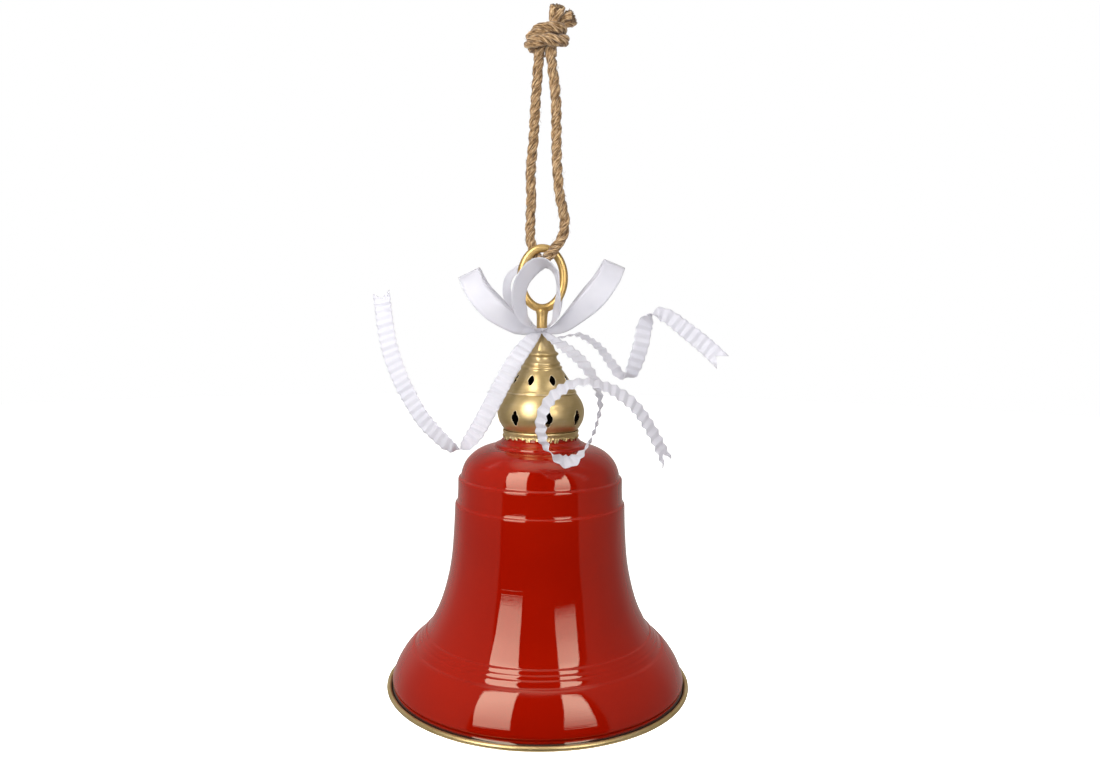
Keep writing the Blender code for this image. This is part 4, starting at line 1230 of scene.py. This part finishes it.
def make_floor():
    mesh = bpy.data.meshes.new("floor")
    bm = bmesh.new()
    bmesh.ops.create_circle(bm, cap_ends=True, segments=64, radius=FLOOR_RADIUS)
    bm.to_mesh(mesh)
    bm.free()
    floor = new_object("floor", mesh)
    floor.location = (0.0, 0.0, FLOOR_HEIGHT)
    mesh.materials.append(dressed(new_material("floor_white")[0], {
        "Base Color": (0.86, 0.86, 0.86, 1.0), "Roughness": 0.9,
        "Emission Color": (1.0, 1.0, 1.0, 1.0), "Emission Strength": 1.0}))
    floor.visible_glossy = False
    floor.visible_diffuse = False


def make_world():
    """White all round for the eye; for light, a dim front, grey sides and back, and
    brighter patches overhead and below."""
    world = bpy.data.worlds.new("studio")
    bpy.context.scene.world = world
    world.use_nodes = True
    tree = world.node_tree
    tree.nodes.clear()
    split = node(tree, "SeparateXYZ", {0: coords(tree, "Generated")})
    x, y, z = split.outputs
    azimuth = math_node(tree, "ARCTAN2", x, math_node(tree, "MULTIPLY", y, -1.0))
    patches = [
        (azimuth, radians(-50.0), radians(-53.0), 0.26),
        (azimuth, radians(52.0), radians(55.0), 0.24),
        (y, 0.35, 0.75, 0.14), (z, 0.86, 0.99, 1.20), (z, -0.55, -0.90, 0.90)]
    level = weighted(tree, *((smooth_step(tree, way, dark, lit), glow)
                             for way, dark, lit, glow in patches), base=WORLD_LEVEL)
    light = node(tree, "Background", {"Color": LIGHT_COLOUR, "Strength": level})
    seen = node(tree, "Background", {"Color": (1.0, 1.0, 1.0, 1.0), "Strength": 1.0})
    rays = node(tree, "LightPath")
    mix = node(tree, "MixShader", {0: rays.outputs["Is Camera Ray"],
                                             1: light.outputs[0], 2: seen.outputs[0]})
    node(tree, "OutputWorld", {"Surface": mix.outputs[0]})


def make_fill(name, where, size, watts):
    """A large soft lamp that lifts the far sides without showing in the gloss."""
    data = bpy.data.lights.new(name, "AREA")
    data.shape = "RECTANGLE"
    data.size, data.size_y = size
    data.energy = watts
    lamp = new_object(name, data)
    lamp.location = where
    aim = Vector(FILL_TARGET) - Vector(where)
    lamp.rotation_euler = aim.to_track_quat("-Z", "Y").to_euler()
    lamp.visible_glossy = False
    lamp.visible_camera = False


def make_softbox(name, corners, low, high):
    """A soft panel, brighter towards its top, that lights the object and shows in the gloss."""
    mesh = bpy.data.meshes.new(name)
    mesh.from_pydata([at(*c) for c in corners], [], [(0, 1, 2, 3)])
    uv = mesh.uv_layers.new(name="UVMap")
    for loop, pair in zip(uv.data, ((0, 0), (1, 0), (1, 1), (0, 1))):
        loop.uv = pair
    box = new_object(name, mesh)
    mat, tree = new_material(name)
    tree.nodes.clear()
    rise = node(tree, "SeparateXYZ", {0: coords(tree, "UV")}).outputs["Y"]
    power = map_range(tree, rise, (0.0, SOFTBOX_RISE), (low, high))
    glow = node(tree, "Emission", {"Color": SOFTBOX_COLOUR, "Strength": power})
    node(tree, "OutputMaterial", {"Surface": glow.outputs[0]})
    mesh.materials.append(mat)
    box.visible_camera = False


make_camera()
JUTE = jute()
RED = red_enamel()
RED_IN = red_inside()
GOLD = gilt("gilt_satin", [(0.51, 0.360, 0.145), (0.60, 0.447, 0.208), (0.69, 0.540, 0.300)],
            0.34, 0.10)
# paler gilt for the lips: a painted highlight where their edges catch the light
GOLD_LIP_HIGHLIGHT = gilt("gilt_lip_painted_highlight", [(0.74, 0.58, 0.32), (0.82, 0.68, 0.42), (0.88, 0.76, 0.52)],
                0.32, 0.10)
GOLD_RING = gilt("gilt_ring", [(0.46, 0.275, 0.080), (0.58, 0.380, 0.135), (0.70, 0.500, 0.220)],
                 0.36, 0.30, (6.0, 60.0))
PAINTED_SHADE = painted_shade_lining()
ZINC = zinc()
CRIMPED = ribbon_paper("ribbon_crimped", 0.18)
SMOOTH = ribbon_paper("ribbon_smooth", 0.12)

build_rope()
build_bell()
build_crown()
build_ring()
build_hardware()
build_bow()

make_floor()
make_world()
for title, (corners, low, high) in SOFTBOXES.items():
    make_softbox(title, corners, low, high)
for title, (where, size, watts) in FILLS.items():
    make_fill(title, where, size, watts)
